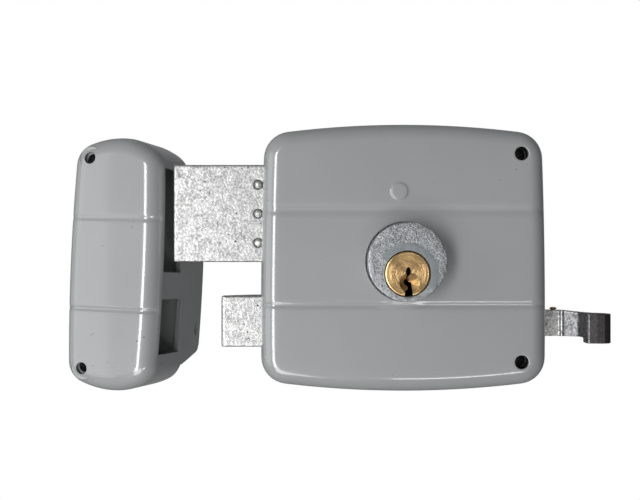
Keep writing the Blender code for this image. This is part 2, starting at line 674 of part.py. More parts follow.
def build_deadbolt_rivets():
    front = BOLT_Y[0] - 0.2 * MM
    back = TAIL_Y[1] + GAP
    for side, z in RIVET_Z.items():
        profile = [(0, front), (RIVET_RADIUS - 0.3 * MM, front), (RIVET_RADIUS, front + 0.3 * MM),
                   (RIVET_RADIUS, back), (2.3 * MM, back), (1.6 * MM, back + 0.6 * MM), (0, back + 0.6 * MM)]
        turned(f"deadbolt_rivet_{side}", profile, "Y", (RIVET_X, z), "zinc_plate", 14)


def build_guide_pins():
    for side, x in GUIDE_PIN_X.items():
        front = TAIL_Y[0] - GAP
        profile = [(0, front - 0.8 * MM), (2.6 * MM, front - 0.8 * MM), (2.6 * MM, front),
                   (GUIDE_RADIUS, front), (GUIDE_RADIUS, -0.1 * MM), (0, -0.1 * MM)]
        turned(f"tail_guide_pin_{side}", profile, "Y", (x, GUIDE_Z), "steel", 14)



def build_detent():
    """A sprung lever whose nose drops into the tail's notches, drawn riding on the edge beside them."""
    px, pz = DETENT_PIVOT
    nose = (NOTCH_X[1], TAIL_TOP + GAP)
    outline = [(nose[0] - 0.5 * MM, nose[1]), (nose[0] + 0.5 * MM, nose[1]), (nose[0] + 3 * MM, 18.6 * MM),
               (px - 2 * MM, pz - 3.6 * MM), (px + 2.4 * MM, pz - 3.4 * MM), (px + 4 * MM, pz),
               (px + 2.4 * MM, pz + 3.4 * MM), (px - 3 * MM, pz + 3.4 * MM), (nose[0] - 2.6 * MM, 21.6 * MM),
               (nose[0] - 2.6 * MM, 18.4 * MM)]
    lever = prism("detent_lever", outline, "Y", TAIL_Y[0], TAIL_Y[1], "steel")
    cut(lever, rod("lever_bore", DETENT_BORE, "Y", DETENT_PIVOT, -FAR_BACK, 0.0, None, 16))
    front = TAIL_Y[0] - GAP
    profile = [(0, front - 0.8 * MM), (2.3 * MM, front - 0.8 * MM), (2.3 * MM, front),
               (PIVOT_PIN_RADIUS, front), (PIVOT_PIN_RADIUS, -0.1 * MM), (0, -0.1 * MM)]
    turned("detent_pivot_pin", profile, "Y", DETENT_PIVOT, "steel", 14)
    thickness = 0.5 * MM
    start = (nose[0] + 2.0 * MM, 22.6 * MM)
    bend = (nose[0] + 9.0 * MM, 33.0 * MM)
    end = (nose[0] + 22.0 * MM, 36.5 * MM)
    blade = [start, (start[0] + 1.6 * MM, start[1] + 0.8 * MM), (bend[0] + thickness, bend[1] - thickness),
             (end[0], end[1] - thickness), end, (bend[0] - thickness / 2, bend[1] + thickness / 2)]
    prism("detent_spring", blade, "Y", TAIL_Y[0] + 0.4 * MM, TAIL_Y[1] - 0.4 * MM, "spring_steel")


# ---------------------------------------------------------------- latch

def build_latch_head():
    nose, heel = LATCH_X
    front, back = BOLT_Y
    outline = [(nose + 0.6 * MM, front), (heel, front), (heel, back), (nose + 10 * MM, back),
               (nose, back - 7.5 * MM), (nose, front + 0.6 * MM)]
    head = prism("latch_head", outline, "Z", LATCH_Z[0], LATCH_Z[1], "zinc_casting")
    round_edges(head, 0.4 * MM, 1)
    slot = block("rod_slot", (heel - 8 * MM, heel + 1 * MM), widened(ROD_Y, GAP), widened(ROD_Z, GAP), None)
    cut(head, slot)
    return head


def build_latch_rod():
    left = LATCH_X[1] - 7.6 * MM
    shoulder = ROD_SHOULDER_X
    outline = [(left, ROD_Z[0]), (shoulder, ROD_Z[0]), (shoulder, TONGUE_Z[0]), (TONGUE_END, TONGUE_Z[0]),
               (TONGUE_END, TONGUE_Z[1]), (shoulder, TONGUE_Z[1]), (shoulder, ROD_Z[1]), (left, ROD_Z[1])]
    bar = prism("latch_rod", outline, "Y", ROD_Y[0], ROD_Y[1], "zinc_plate")
    cut(bar, rod("tongue_hole", RIVET_HOLE, "Z", (PULL_RIVET_X, sum(ROD_Y) / 2), FAR_FRONT, 0.0, None, 12))
    return bar


def build_latch_spring():
    y, z = SPRING_LINE_Y, sum(ROD_Z) / 2
    heel_drawn_in = LATCH_X[1] + LATCH_TRAVEL
    coil("latch_spring", "X", (y, z), heel_drawn_in + GAP, SPRING_STOP_X - GAP, 2.9 * MM, 0.45 * MM, 6,
         "spring_steel", per_turn=10, sides=5)
    stop = block("latch_spring_bracket", (SPRING_STOP_X, SPRING_STOP_X + 2 * MM), (-21.5 * MM, -PLATE - GAP),
                 (-31.5 * MM, -15.4 * MM), "steel")
    across = widened((SPRING_STOP_X, 0.0), GAP)
    cut(stop, block("rod_window", across, widened(ROD_Y, GAP), widened(ROD_Z, GAP), None))
    peg = rod("spring_peg", 2.0 * MM, "X", (y, z), SPRING_STOP_X - 8 * MM, SPRING_STOP_X + 1 * MM, None, 12)
    combine(stop, peg, "UNION")


def pull_path():
    """The pull seen from above: a bar that steps towards the room and ends in a curled finger grip."""
    front, back = ROD_Y
    return [(50.3, front / MM), (50.3, back / MM), (59.0, back / MM), (64.0, back / MM - 2.2),
            (70.2, back / MM - 4.4), (73.0, back / MM - 6.4), (73.9, back / MM - 9.6),
            (73.2, back / MM - 12.6),
            (70.6, back / MM - 14.4), (67.6, back / MM - 14.0), (66.4, back / MM - 12.0),
            (66.6, back / MM - 8.9), (63.4, back / MM - 6.6), (58.6, back / MM - 4.6), (57.8, front / MM)]


def build_pull():
    outline = [(x * MM, y * MM) for x, y in pull_path()]
    pull = prism("pull_handle", outline, "Z", ROD_Z[0] - 0.4 * MM, ROD_Z[1], "zinc_casting")
    y = sum(ROD_Y) / 2
    step = block("grip_top", (58.0 * MM, FAR_RIGHT), (FAR_FRONT, 0.0), (ROD_Z[1] - GRIP_TOP_DROP, 0.0), None)
    cut(pull, step)
    lower = [(x * MM, z * MM) for x, z in pull_path() if x * MM > GRIP_LEFT]
    grip = prism("grip_drop", lower, "Z", ROD_Z[0] - GRIP_BOTTOM_DROP, ROD_Z[0] + 1 * MM, None)
    combine(pull, grip, "UNION")
    slot = block("fork_slot", (48 * MM, TONGUE_END + GAP), (FAR_FRONT, 0.0), widened(TONGUE_Z, GAP), None)
    cut(pull, slot)
    cut(pull, rod("fork_hole", RIVET_HOLE, "Z", (PULL_RIVET_X, y), FAR_FRONT, 0.0, None, 12))
    cut(pull, rod("curl_hole", CURL_HOLE_RADIUS, "Z", CURL_HOLE, FAR_FRONT, 0.0, None, 14))
    top = ROD_Z[1] + GAP
    profile = [(0, ROD_Z[0] - 0.2 * MM), (0.9 * MM, ROD_Z[0] - 0.2 * MM), (0.9 * MM, top), (1.4 * MM, top),
               (1.0 * MM, top + 0.6 * MM), (0, top + 0.7 * MM)]
    turned("pull_rivet", profile, "Z", (PULL_RIVET_X, y), "brass", 14)


# ---------------------------------------------------------------- keeper

def keeper_shape():
    return {"width": KEEPER_WIDTH, "height": KEEPER_HEIGHT, "crown": KEEPER_CROWN, "bow": KEEPER_BOW,
            "corner": KEEPER_CORNER}


def build_keeper():
    """The keeper is drawn square in its own frame (u, w, v) and then turned to the way it lies."""
    frame = bpy.data.objects.new("keeper_frame", None)
    bpy.context.collection.objects.link(frame)
    side = KEEPER_WIDTH / 2
    shell = rolled_shell("keeper_shell", keeper_shape(), KEEPER_DEPTH, KEEPER_ROLL, WALL, "grey_enamel")
    shell.location.y = KEEPER_DEPTH
    inside = side - WALL - GAP
    room = block("side_opening", (inside, FAR_RIGHT), (SIDE_START - KEEPER_DEPTH, FAR_RIGHT),
                 (-SIDE_HALF - GAP, SIDE_HALF + GAP), None)
    cut(shell, room)
    for end, v in (("upper", KEEPER_HOLE_V), ("lower", -KEEPER_HOLE_V)):
        centre = (KEEPER_HOLE_U, v)
        hole = rod(f"keeper_hole_{end}", KEEPER_HOLE_RADIUS, "Y", centre, FAR_FRONT, -FAR_BACK, None, 18)
        cut(shell, hole)
    for end, v in (("upper", LINE_Z), ("lower", -LINE_Z)):
        section = [(y - KEEPER_DEPTH + CASE_DEPTH, z) for y, z in groove_section(v)]
        cut(shell, prism(f"keeper_line_{end}", section, "X", -side + KEEPER_ROLL, side - KEEPER_ROLL, None))
    corner = SIDE_CORNER
    w0, w1 = SIDE_START + GAP, SIDE_DEPTH
    outline = [(w0, -SIDE_HALF), (w1 - corner, -SIDE_HALF), (w1, -SIDE_HALF + 1.4 * corner),
               (w1, SIDE_HALF - corner), (w1 - corner, SIDE_HALF), (w0, SIDE_HALF)]
    plate = prism("keeper_side_plate", outline, "X", side - WALL, side, "grey_enamel")
    outer = prism("keeper_outer_shape", crowned_outline(inset=0.0, **keeper_shape()), "Y", 0.0,
                  SIDE_DEPTH + GAP, None)
    combine(plate, outer, "INTERSECT")
    through = (0.0, FAR_RIGHT)
    cut(plate, block("deadbolt_window", through, WINDOW_DEPTH, DEAD_WINDOW, None))
    cut(plate, block("latch_window", through, WINDOW_DEPTH, LATCH_WINDOW, None))
    for end, v in (("upper", -KEEPER_SCREW[1]), ("lower", KEEPER_SCREW[1])):
        centre = (KEEPER_SCREW[0], v)
        cut(plate, rod(f"side_screw_hole_{end}", KEEPER_SCREW_RADIUS, "X", centre, *through, None, 16))
    back = crowned_outline(inset=WALL + GAP, **keeper_shape())
    front = KEEPER_DEPTH - KEEPER_BACK_THICKNESS
    back_plate = prism("keeper_back_plate", back, "Y", front, KEEPER_DEPTH, "grey_enamel")
    cut(back_plate, block("side_clearance", (inside - GAP, FAR_RIGHT), (0.0, SIDE_DEPTH),
                          (-KEEPER_HEIGHT, KEEPER_HEIGHT), None))
    for end, v in (("upper", KEEPER_HOLE_V), ("lower", -KEEPER_HOLE_V)):
        hole = rod(f"back_hole_{end}", KEEPER_HOLE_RADIUS, "Y", (KEEPER_HOLE_U, v), 0.0, SIDE_DEPTH, None, 16)
        cut(back_plate, hole)
    pieces = [shell, plate, back_plate]
    cutters = [m.object for piece in pieces for m in piece.modifiers if m.type == "BOOLEAN"]
    for piece in pieces:
        piece.parent = frame
    for cutter in cutters:
        in_shell_frame = cutter.name.startswith(("keeper_hole", "keeper_line", "side_opening"))
        cutter.parent = shell if in_shell_frame else frame
    frame.rotation_mode = "ZXY"
    frame.rotation_euler = KEEPER_TURN
    frame.location = KEEPER_CENTRE


# ---------------------------------------------------------------- joint axes

JOINT_AXES = {
    "axis_of_plug": ((CYLINDER_X, PLUG_FRONT, PLUG_Z),
                     ("cylinder_plug", "plug_retaining_ring", "drive_pinion", "key_pin")),
    "line_of_deadbolt": ((DEADBOLT_X[0], sum(BOLT_Y) / 2, sum(DEADBOLT_Z) / 2), ("deadbolt",)),
    "axis_of_detent": ((DETENT_PIVOT[0], TAIL_Y[0], DETENT_PIVOT[1]), ("detent_lever", "detent_spring")),
    "line_of_latch": ((LATCH_X[0], sum(BOLT_Y) / 2, sum(LATCH_Z) / 2), ("latch_head", "latch_rod", "pull")),
}


def hang_on_axes():
    """Give the pieces that move together an empty on their joint's axis, without moving them."""
    for name, (place_on_axis, prefixes) in JOINT_AXES.items():
        axis = bpy.data.objects.new(name, None)
        bpy.context.collection.objects.link(axis)
        axis.location = place_on_axis
        for obj in list(bpy.data.objects):
            if obj.name.startswith(prefixes) and not obj.hide_render:
                obj.parent = axis
                obj.matrix_parent_inverse = Matrix.Translation(place_on_axis).inverted()


# ---------------------------------------------------------------- build everything

for old in list(bpy.data.objects):
    bpy.data.objects.remove(old, do_unlink=True)

MATERIALS = {name: make_material(name) for name in FINISHES}

build_case_cover()
build_back_plate()
build_forend_plate()
build_fixing_sleeves()
build_cylinder_housing()
build_cylinder_plug()
build_plug_ring()
build_pinion()
build_pins()
build_cylinder_fixings()
build_deadbolt_head()
build_deadbolt_tail()
build_deadbolt_rivets()
build_guide_pins()
build_detent()
build_latch_head()
build_latch_rod()
build_latch_spring()
build_pull()
build_keeper()
hang_on_axes()
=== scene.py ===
# %% [markdown]
# # A rim night latch and its keeper
# This lesson dresses a finished mechanical model: a grey enamelled lock case with a key cylinder, a cast
# deadbolt and latch, a finger pull, and the keeper that takes the bolts. The working parts come from a
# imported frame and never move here. We only give them finer surfaces, better materials and a photographer's
# table. Every new piece is told which body of the frame it rides on, so it follows the lock as it works.

# %% Load the frame
import json
import math

import bmesh
import bpy
from mathutils import Euler, Matrix, Vector, noise


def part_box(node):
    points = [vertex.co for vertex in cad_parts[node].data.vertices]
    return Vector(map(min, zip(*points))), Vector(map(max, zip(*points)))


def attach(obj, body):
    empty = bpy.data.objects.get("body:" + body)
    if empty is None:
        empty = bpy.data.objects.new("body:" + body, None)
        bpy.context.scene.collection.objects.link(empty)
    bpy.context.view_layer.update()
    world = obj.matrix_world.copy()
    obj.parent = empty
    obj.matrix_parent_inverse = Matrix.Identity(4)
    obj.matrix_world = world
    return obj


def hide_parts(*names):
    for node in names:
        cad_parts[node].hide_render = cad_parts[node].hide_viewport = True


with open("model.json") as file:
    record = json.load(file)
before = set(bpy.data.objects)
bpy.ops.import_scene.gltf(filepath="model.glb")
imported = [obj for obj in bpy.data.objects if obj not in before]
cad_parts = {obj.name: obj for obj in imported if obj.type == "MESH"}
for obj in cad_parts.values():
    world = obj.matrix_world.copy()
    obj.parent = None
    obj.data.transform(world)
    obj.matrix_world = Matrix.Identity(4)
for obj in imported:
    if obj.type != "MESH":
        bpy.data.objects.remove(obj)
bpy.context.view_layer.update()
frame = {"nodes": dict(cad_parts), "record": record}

MM = 0.001

# %% [markdown]
# ## Camera and stage
# A lock like this is usually shown square on, from less than an arm's length, with a slightly long lens.
# The camera stands level with the middle of the case and a little to the left of it, so that it also sees
# the right side of the keeper. Behind and below runs one pale sweep, a floor that curves up into a wall,
# because a curved sweep has no horizon line. It is bowed with a quarter circle of short faces.

# %% Camera
CAMERA_PLACE = Vector((-29.0, -373.5, 2.7)) * MM
SENSOR = 36.0
FOCAL_PIXELS, FRAME_PIXELS = 1000, 640

camera_data = bpy.data.cameras.new("camera")
camera_data.sensor_width = SENSOR
camera_data.lens = SENSOR * FOCAL_PIXELS / FRAME_PIXELS
camera_data.clip_start = 0.01
camera = bpy.data.objects.new("camera", camera_data)
camera.location = CAMERA_PLACE
camera.rotation_euler = (math.radians(90), 0, 0)
bpy.context.collection.objects.link(camera)
bpy.context.scene.camera = camera
print("lens, mm:", round(camera_data.lens, 1))


# %% Mesh helpers
def to_object(name, bm, materials=(), smooth_angle=40):
    """Make a bmesh an object at the origin, smooth except along edges sharper than the angle."""
    mesh = bpy.data.meshes.new(name)
    bm.to_mesh(mesh)
    bm.free()
    obj = bpy.data.objects.new(name, mesh)
    bpy.context.collection.objects.link(obj)
    for material in materials:
        mesh.materials.append(material)
    mesh.shade_smooth()
    mesh.set_sharp_from_angle(angle=math.radians(smooth_angle))
    return obj


def bake_modifiers(obj, smooth_angle=40):
    """Replace an object's mesh by what its modifiers make of it, and remove them."""
    graph = bpy.context.evaluated_depsgraph_get()
    made = bpy.data.meshes.new_from_object(obj.evaluated_get(graph))
    obj.modifiers.clear()
    obj.data = made
    if smooth_angle:
        made.shade_smooth()
        made.set_sharp_from_angle(angle=math.radians(smooth_angle))
    return obj


def carve(obj, *tools, operation="DIFFERENCE", smooth_angle=40):
    """Cut tools out of an object (or join them to it), then throw the tools away."""
    for tool in tools:
        modifier = obj.modifiers.new(tool.name, "BOOLEAN")
        modifier.operation = operation
        modifier.solver = "EXACT"
        modifier.object = tool
    bake_modifiers(obj, smooth_angle)
    for tool in tools:
        bpy.data.objects.remove(tool, do_unlink=True)
    return obj


def bridge(bm, first, second):
    """Join two rings of equal count, leaving out sides that have shrunk to a point."""
    count = max(len(first), len(second))
    faces = []
    for k in range(count):
        n = (k + 1) % count
        ring = [first[k % len(first)], first[n % len(first)], second[n % len(second)],
                second[k % len(second)]]
        corners = list(dict.fromkeys(ring))
        if len(corners) > 2:
            faces.append(bm.faces.new(corners))
    return faces


def outward(bm):
    bmesh.ops.recalc_face_normals(bm, faces=bm.faces)
    return bm


def lathe(name, profile, centre, axis="Y", segments=96, materials=(), smooth_angle=40):
    """Turn (radius, distance) points about an axis through centre. A radius of zero closes an end."""
    bm = bmesh.new()
    rings = []
    for radius, along in profile:
        steps = segments if radius > 0 else 1
        ring = []
        for k in range(steps):
            angle = 2 * math.pi * k / segments
            a, b = centre[0] + radius * math.cos(angle), centre[1] + radius * math.sin(angle)
            spot = {"X": (along, a, b), "Y": (a, along, b), "Z": (a, b, along)}[axis]
            ring.append(bm.verts.new(spot))
        rings.append(ring)
    closed = profile[0][0] > 0
    for first, second in zip(rings, rings[1:] + (rings[:1] if closed else [])):
        bridge(bm, first, second)
    return to_object(name, outward(bm), materials, smooth_angle)


def extrude(name, outline, axis, low, high, materials=(), smooth_angle=40):
    """Push a flat outline along an axis."""
    bm = bmesh.new()
    order = {
        "X": lambda a, b, t: (t, a, b),
        "Y": lambda a, b, t: (a, t, b),
        "Z": lambda a, b, t: (a, b, t),
    }[axis]
    rings = [[bm.verts.new(order(a, b, t)) for a, b in outline] for t in (low, high)]
    bm.faces.new(rings[0])
    bm.faces.new(list(reversed(rings[1])))
    bridge(bm, rings[0], rings[1])
    return to_object(name, outward(bm), materials, smooth_angle)


def box_tool(name, low, high):
    outline = [(low[0], low[2]), (high[0], low[2]), (high[0], high[2]), (low[0], high[2])]
    return extrude(name, outline, "Y", low[1], high[1])


def softened(node, width, segments=3, name=None, angle=30):
    """A copy of a frame node with its triangles merged and its edges rounded, to catch the light."""
    source = frame["nodes"][node]
    bm = bmesh.new()
    bm.from_mesh(source.data)
    bmesh.ops.remove_doubles(bm, verts=bm.verts, dist=2e-6)
    bmesh.ops.dissolve_limit(bm, angle_limit=math.radians(1), verts=bm.verts, edges=bm.edges)
    copy = to_object(name or f"{node}_finished", bm, (), 180)
    modifier = copy.modifiers.new("edges", "BEVEL")
    modifier.width = width
    modifier.segments = segments
    modifier.limit_method = "ANGLE"
    modifier.angle_limit = math.radians(angle)
    modifier.harden_normals = True
    modifier.use_clamp_overlap = True
    bake_modifiers(copy, None)
    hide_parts(node)
    return copy


# %% [markdown]
# ## Finishes shared by several pieces
# Real metal is never one flat value. Castings are mottled where the molten zinc chilled, plated steel has a
# fine drawn grain, turned brass has concentric tool marks, and enamel has a faint orange-peel ripple. Each
# effect is a small node group with its own sizes, so that a material only has to choose its values. The
# patterns are read from Object coordinates, which are metres here, so a scale of 1000 means one per mm.


# %% Node helpers
def new_group(name, inputs, outputs):
    """A shader node group with named number or colour sockets, and its two end nodes."""
    group = bpy.data.node_groups.new(name, "ShaderNodeTree")
    for label, kind, value in inputs:
        socket = group.interface.new_socket(label, in_out="INPUT", socket_type=f"NodeSocket{kind}")
        socket.default_value = value
    for label, kind in outputs:
        group.interface.new_socket(label, in_out="OUTPUT", socket_type=f"NodeSocket{kind}")
    return group, group.nodes.new("NodeGroupInput"), group.nodes.new("NodeGroupOutput")


def add(tree, kind, **values):
    """Add a node; a value whose name is a socket sets the socket, any other sets a property."""
    node = tree.nodes.new(f"ShaderNode{kind}")
    for key, value in values.items():
        label = key.replace("_", " ")
        sockets = [s for s in node.inputs if s.name == label and s.enabled]
        if sockets:
            sockets[0].default_value = value
        else:
            setattr(node, key, value)
    return node


def maths(tree, operation, first, second=None, clamp=False):
    """A maths node between sockets or plain numbers; returns its output."""
    node = tree.nodes.new("ShaderNodeMath")
    node.operation = operation
    node.use_clamp = clamp
    for socket, value in zip(node.inputs, (first, second)):
        if value is None:
            continue
        if isinstance(value, (int, float)):
            socket.default_value = value
        else:
            tree.links.new(value, socket)
    return node.outputs[0]


def ramp(tree, value, low, high):
    """Stretch the part of a value between low and high to 0..1, softly."""
    node = add(tree, "MapRange", interpolation_type="SMOOTHSTEP", clamp=True)
    tree.links.new(value, node.inputs["Value"])
    for label, level in (("From Min", low), ("From Max", high)):
        if isinstance(level, (int, float)):
            node.inputs[label].default_value = level
        else:
            tree.links.new(level, node.inputs[label])
    return node.outputs["Result"]


def noise_at(tree, scale, detail=2.0, roughness=0.5, vector=None):
    node = add(tree, "TexNoise", Detail=detail, Roughness=roughness)
    node.noise_dimensions = "3D"
    if isinstance(scale, (int, float)):
        node.inputs["Scale"].default_value = scale
    else:
        tree.links.new(scale, node.inputs["Scale"])
    tree.links.new(vector or object_place(tree), node.inputs["Vector"])
    return node.outputs["Fac"]


def object_place(tree):
    """One shared Texture Coordinate node's Object output."""
    for node in tree.nodes:
        if node.type == "TEX_COORD":
            return node.outputs["Object"]
    return add(tree, "TexCoord").outputs["Object"]


def blend_colour(tree, mask, first, second):
    node = tree.nodes.new("ShaderNodeMix")
    node.data_type = "RGBA"
    tree.links.new(mask, node.inputs["Factor"])
    for socket, value in ((node.inputs[6], first), (node.inputs[7], second)):
        if isinstance(value, (tuple, list)):
            socket.default_value = (*value[:3], 1)
        else:
            tree.links.new(value, socket)
    return node.outputs[2]


# %% Cast mottle group
def make_cast_mottle():
    """Mottled zinc: cloudy patches, small grains and pits. Gives two masks and a height."""
    group, start, end = new_group(
        "cast_mottle",
        (("Patch Scale", "Float", 350.0), ("Grain Scale", "Float", 1600.0), ("Pit Amount", "Float", 0.5)),
        (("Patches", "Float"), ("Grains", "Float"), ("Pits", "Float"), ("Height", "Float")))
    patch = noise_at(group, start.outputs["Patch Scale"], 4.0, 0.6)
    patches = ramp(group, patch, 0.38, 0.62)
    grain = noise_at(group, start.outputs["Grain Scale"], 3.0, 0.7)
    grains = ramp(group, grain, 0.35, 0.68)
    cells = add(group, "TexVoronoi", feature="F1")
    group.links.new(object_place(group), cells.inputs["Vector"])
    group.links.new(maths(group, "MULTIPLY", start.outputs["Grain Scale"], 0.6), cells.inputs["Scale"])
    near = ramp(group, cells.outputs["Distance"], 0.30, 0.12)
    picked = ramp(group, noise_at(group, maths(group, "MULTIPLY", start.outputs["Grain Scale"], 0.3), 1.0),
                  0.55, 0.66)
    pits = maths(group, "MULTIPLY", maths(group, "MULTIPLY", near, picked), start.outputs["Pit Amount"],
                 clamp=True)
    height = maths(group, "SUBTRACT", maths(group, "ADD", maths(group, "MULTIPLY", patches, 0.5), grains),
                   pits)
    for label, value in (("Patches", patches), ("Grains", grains), ("Pits", pits), ("Height", height)):
        group.links.new(value, end.inputs[label])
    return group


# %% Edge wear group
def make_edge_wear():
    """Where an edge is: the angle between the true normal and one averaged over a small radius."""
    group, start, end = new_group(
        "edge_wear", (("Radius", "Float", 0.0005), ("Breakup Scale", "Float", 900.0)), (("Edge", "Float"),))
    rounded = add(group, "Bevel", samples=4)
    group.links.new(start.outputs["Radius"], rounded.inputs["Radius"])
    plain = add(group, "NewGeometry")
    turn = add(group, "VectorMath", operation="DOT_PRODUCT")
    group.links.new(rounded.outputs["Normal"], turn.inputs[0])
    group.links.new(plain.outputs["Normal"], turn.inputs[1])
    bend = maths(group, "SUBTRACT", 1.0, turn.outputs["Value"])
    broken = maths(group, "MULTIPLY", bend,
                   maths(group, "ADD", noise_at(group, start.outputs["Breakup Scale"], 3), 0.5))
    group.links.new(ramp(group, broken, 0.015, 0.13), end.inputs["Edge"])
    return group


# %% Turning marks group
def make_turning_marks():
    """Concentric tool marks about an axis along Y through a centre point: a height and a tint mask."""
    group, start, end = new_group(
        "turning_marks",
        (("Centre", "Vector", (0, 0, 0)), ("Marks Per Metre", "Float", 7000.0)),
        (("Height", "Float"), ("Tint", "Float")))
    shift = add(group, "VectorMath", operation="SUBTRACT")
    group.links.new(object_place(group), shift.inputs[0])
    group.links.new(start.outputs["Centre"], shift.inputs[1])
    flat = add(group, "VectorMath", operation="MULTIPLY")
    flat.inputs[1].default_value = (1, 0, 1)
    group.links.new(shift.outputs[0], flat.inputs[0])
    length = add(group, "VectorMath", operation="LENGTH")
    group.links.new(flat.outputs[0], length.inputs[0])
    radius = length.outputs["Value"]
    along = maths(group, "MULTIPLY", radius, start.outputs["Marks Per Metre"])
    fine = add(group, "TexNoise", noise_dimensions="1D", Scale=1.0, Detail=3.0, Roughness=0.65)
    group.links.new(along, fine.inputs["W"])
    broad = add(group, "TexNoise", noise_dimensions="1D", Scale=0.18, Detail=1.0)
    group.links.new(along, broad.inputs["W"])
    group.links.new(fine.outputs["Fac"], end.inputs["Height"])
    group.links.new(broad.outputs["Fac"], end.inputs["Tint"])
    return group


CAST_MOTTLE = make_cast_mottle()
EDGE_WEAR = make_edge_wear()
TURNING_MARKS = make_turning_marks()
print("shared effects:", [g.name for g in bpy.data.node_groups])


# %% Material helper
def new_material(name):
    material = bpy.data.materials.new(name)
    material.use_nodes = True
    tree = material.node_tree
    return material, tree, tree.nodes["Principled BSDF"]


def use_group(tree, group, **values):
    node = tree.nodes.new("ShaderNodeGroup")
    node.node_tree = group
    for key, value in values.items():
        node.inputs[key.replace("_", " ")].default_value = value
    return node


def bump(tree, shader, height, strength, distance):
    node = add(tree, "Bump", Strength=strength, Distance=distance)
    tree.links.new(height, node.inputs["Height"])
    tree.links.new(node.outputs["Normal"], shader.inputs["Normal"])
    return node


# %% [markdown]
# ## Grey enamel
# The case and keeper are sprayed with a gloss enamel and stoved. From near by it shows a soft ripple, a few
# specks of dust under the paint, and it thins to a lighter line over sharp edges. The base is an ordinary
# dielectric with a low roughness, and a thin coat on top gives the sharp second reflection.

# %% Grey enamel
def make_enamel():
    material, tree, shader = new_material("grey_enamel_gloss")
    cloud = noise_at(tree, 22.0, 3.0, 0.5)
    tone = blend_colour(tree, ramp(tree, cloud, 0.3, 0.7), (0.322, 0.329, 0.332), (0.345, 0.351, 0.353))
    speck = ramp(tree, noise_at(tree, 1100.0, 0.0), 0.80, 0.83)
    rare = ramp(tree, noise_at(tree, 90.0, 0.0), 0.66, 0.70)
    dust = maths(tree, "MULTIPLY", speck, rare)
    dusty = blend_colour(tree, dust, tone, (0.12, 0.12, 0.12))
    edge = use_group(tree, EDGE_WEAR, Radius=0.35 * MM, Breakup_Scale=700.0)
    thin = maths(tree, "MULTIPLY", edge.outputs["Edge"], 0.30)
    tree.links.new(blend_colour(tree, thin, dusty, (0.50, 0.51, 0.52)), shader.inputs["Base Color"])
    rough = maths(tree, "ADD", maths(tree, "MULTIPLY", noise_at(tree, 60.0, 2.0), 0.06), 0.22)
    tree.links.new(rough, shader.inputs["Roughness"])
    shader.inputs["IOR"].default_value = 1.6
    shader.inputs["Coat Weight"].default_value = 1.0
    shader.inputs["Coat Roughness"].default_value = 0.06
    shader.inputs["Coat IOR"].default_value = 1.6
    ripple = maths(tree, "ADD", noise_at(tree, 420.0, 1.0),
                   maths(tree, "MULTIPLY", noise_at(tree, 110.0, 1.0), 1.6))
    height = maths(tree, "ADD", ripple, maths(tree, "MULTIPLY", dust, 1.5))
    bump(tree, shader, height, 0.08, 0.04 * MM)
    return material


# %% [markdown]
# ## Zinc, steel and brass
# The bolts, the cylinder and the pull are zinc die castings: bright, with a cloudy mottle and darker grains.
# Plates are plated sheet. The plug and pins are turned brass. One function makes all the cast and sheet
# metals from the same mottle, and only its numbers differ.


# %% Metals
def make_metal(name, light, dark, patch, grain, rough, pits=0.5, relief=0.04, spread=0.75):
    material, tree, shader = new_material(name)
    mottle = use_group(tree, CAST_MOTTLE, Patch_Scale=patch, Grain_Scale=grain, Pit_Amount=pits)
    mixed = maths(tree, "MULTIPLY", mottle.outputs["Grains"], spread)
    cloudy = maths(tree, "ADD", mixed, maths(tree, "MULTIPLY", mottle.outputs["Patches"], 1 - spread),
                   clamp=True)
    tone = blend_colour(tree, cloudy, dark, light)
    pitted = blend_colour(tree, mottle.outputs["Pits"], tone, tuple(v * 0.25 for v in dark))
    edge = use_group(tree, EDGE_WEAR, Radius=0.3 * MM, Breakup_Scale=1100.0)
    shiny = maths(tree, "MULTIPLY", edge.outputs["Edge"], 0.6)
    tree.links.new(blend_colour(tree, shiny, pitted, (0.92, 0.92, 0.91)), shader.inputs["Base Color"])
    shader.inputs["Metallic"].default_value = 1.0
    worn = maths(tree, "MULTIPLY", maths(tree, "SUBTRACT", 1.0, cloudy), 0.22)
    tree.links.new(maths(tree, "ADD", worn, rough), shader.inputs["Roughness"])
    bump(tree, shader, mottle.outputs["Height"], 0.35, relief * MM)
    return material


def make_slot_shade_brass():
    """The brass inside the key slot, dull and near black: painted shade for the depth of the slot."""
    material, tree, shader = new_material("slot_brass_painted_shade")
    tone = blend_colour(tree, noise_at(tree, 700.0, 3.0), (0.035, 0.012, 0.006), (0.16, 0.055, 0.02))
    tree.links.new(tone, shader.inputs["Base Color"])
    shader.inputs["Metallic"].default_value = 1.0
    shader.inputs["Roughness"].default_value = 0.45
    return material


def make_brass():
    material, tree, shader = new_material("turned_brass")
    plug_low, plug_high = (Vector(v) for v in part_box("cylinder_plug"))
    middle = (plug_low + plug_high) / 2
    marks = use_group(tree, TURNING_MARKS, Centre=tuple(middle), Marks_Per_Metre=7000.0)
    tone = blend_colour(tree, marks.outputs["Tint"], (0.50, 0.315, 0.13), (0.78, 0.53, 0.26))
    stain = ramp(tree, noise_at(tree, 260.0, 4.0, 0.6), 0.5, 0.75)
    aged = blend_colour(tree, maths(tree, "MULTIPLY", stain, 0.15), tone, (0.40, 0.25, 0.10))
    edge = use_group(tree, EDGE_WEAR, Radius=0.25 * MM, Breakup_Scale=1500.0)
    tree.links.new(
        blend_colour(tree, maths(tree, "MULTIPLY", edge.outputs["Edge"], 0.7), aged, (0.97, 0.82, 0.52)),
        shader.inputs["Base Color"])
    shader.inputs["Metallic"].default_value = 1.0
    tree.links.new(maths(tree, "ADD", maths(tree, "MULTIPLY", stain, 0.10), 0.18),
                   shader.inputs["Roughness"])
    bump(tree, shader, marks.outputs["Height"], 1.0, 0.045 * MM)
    return material


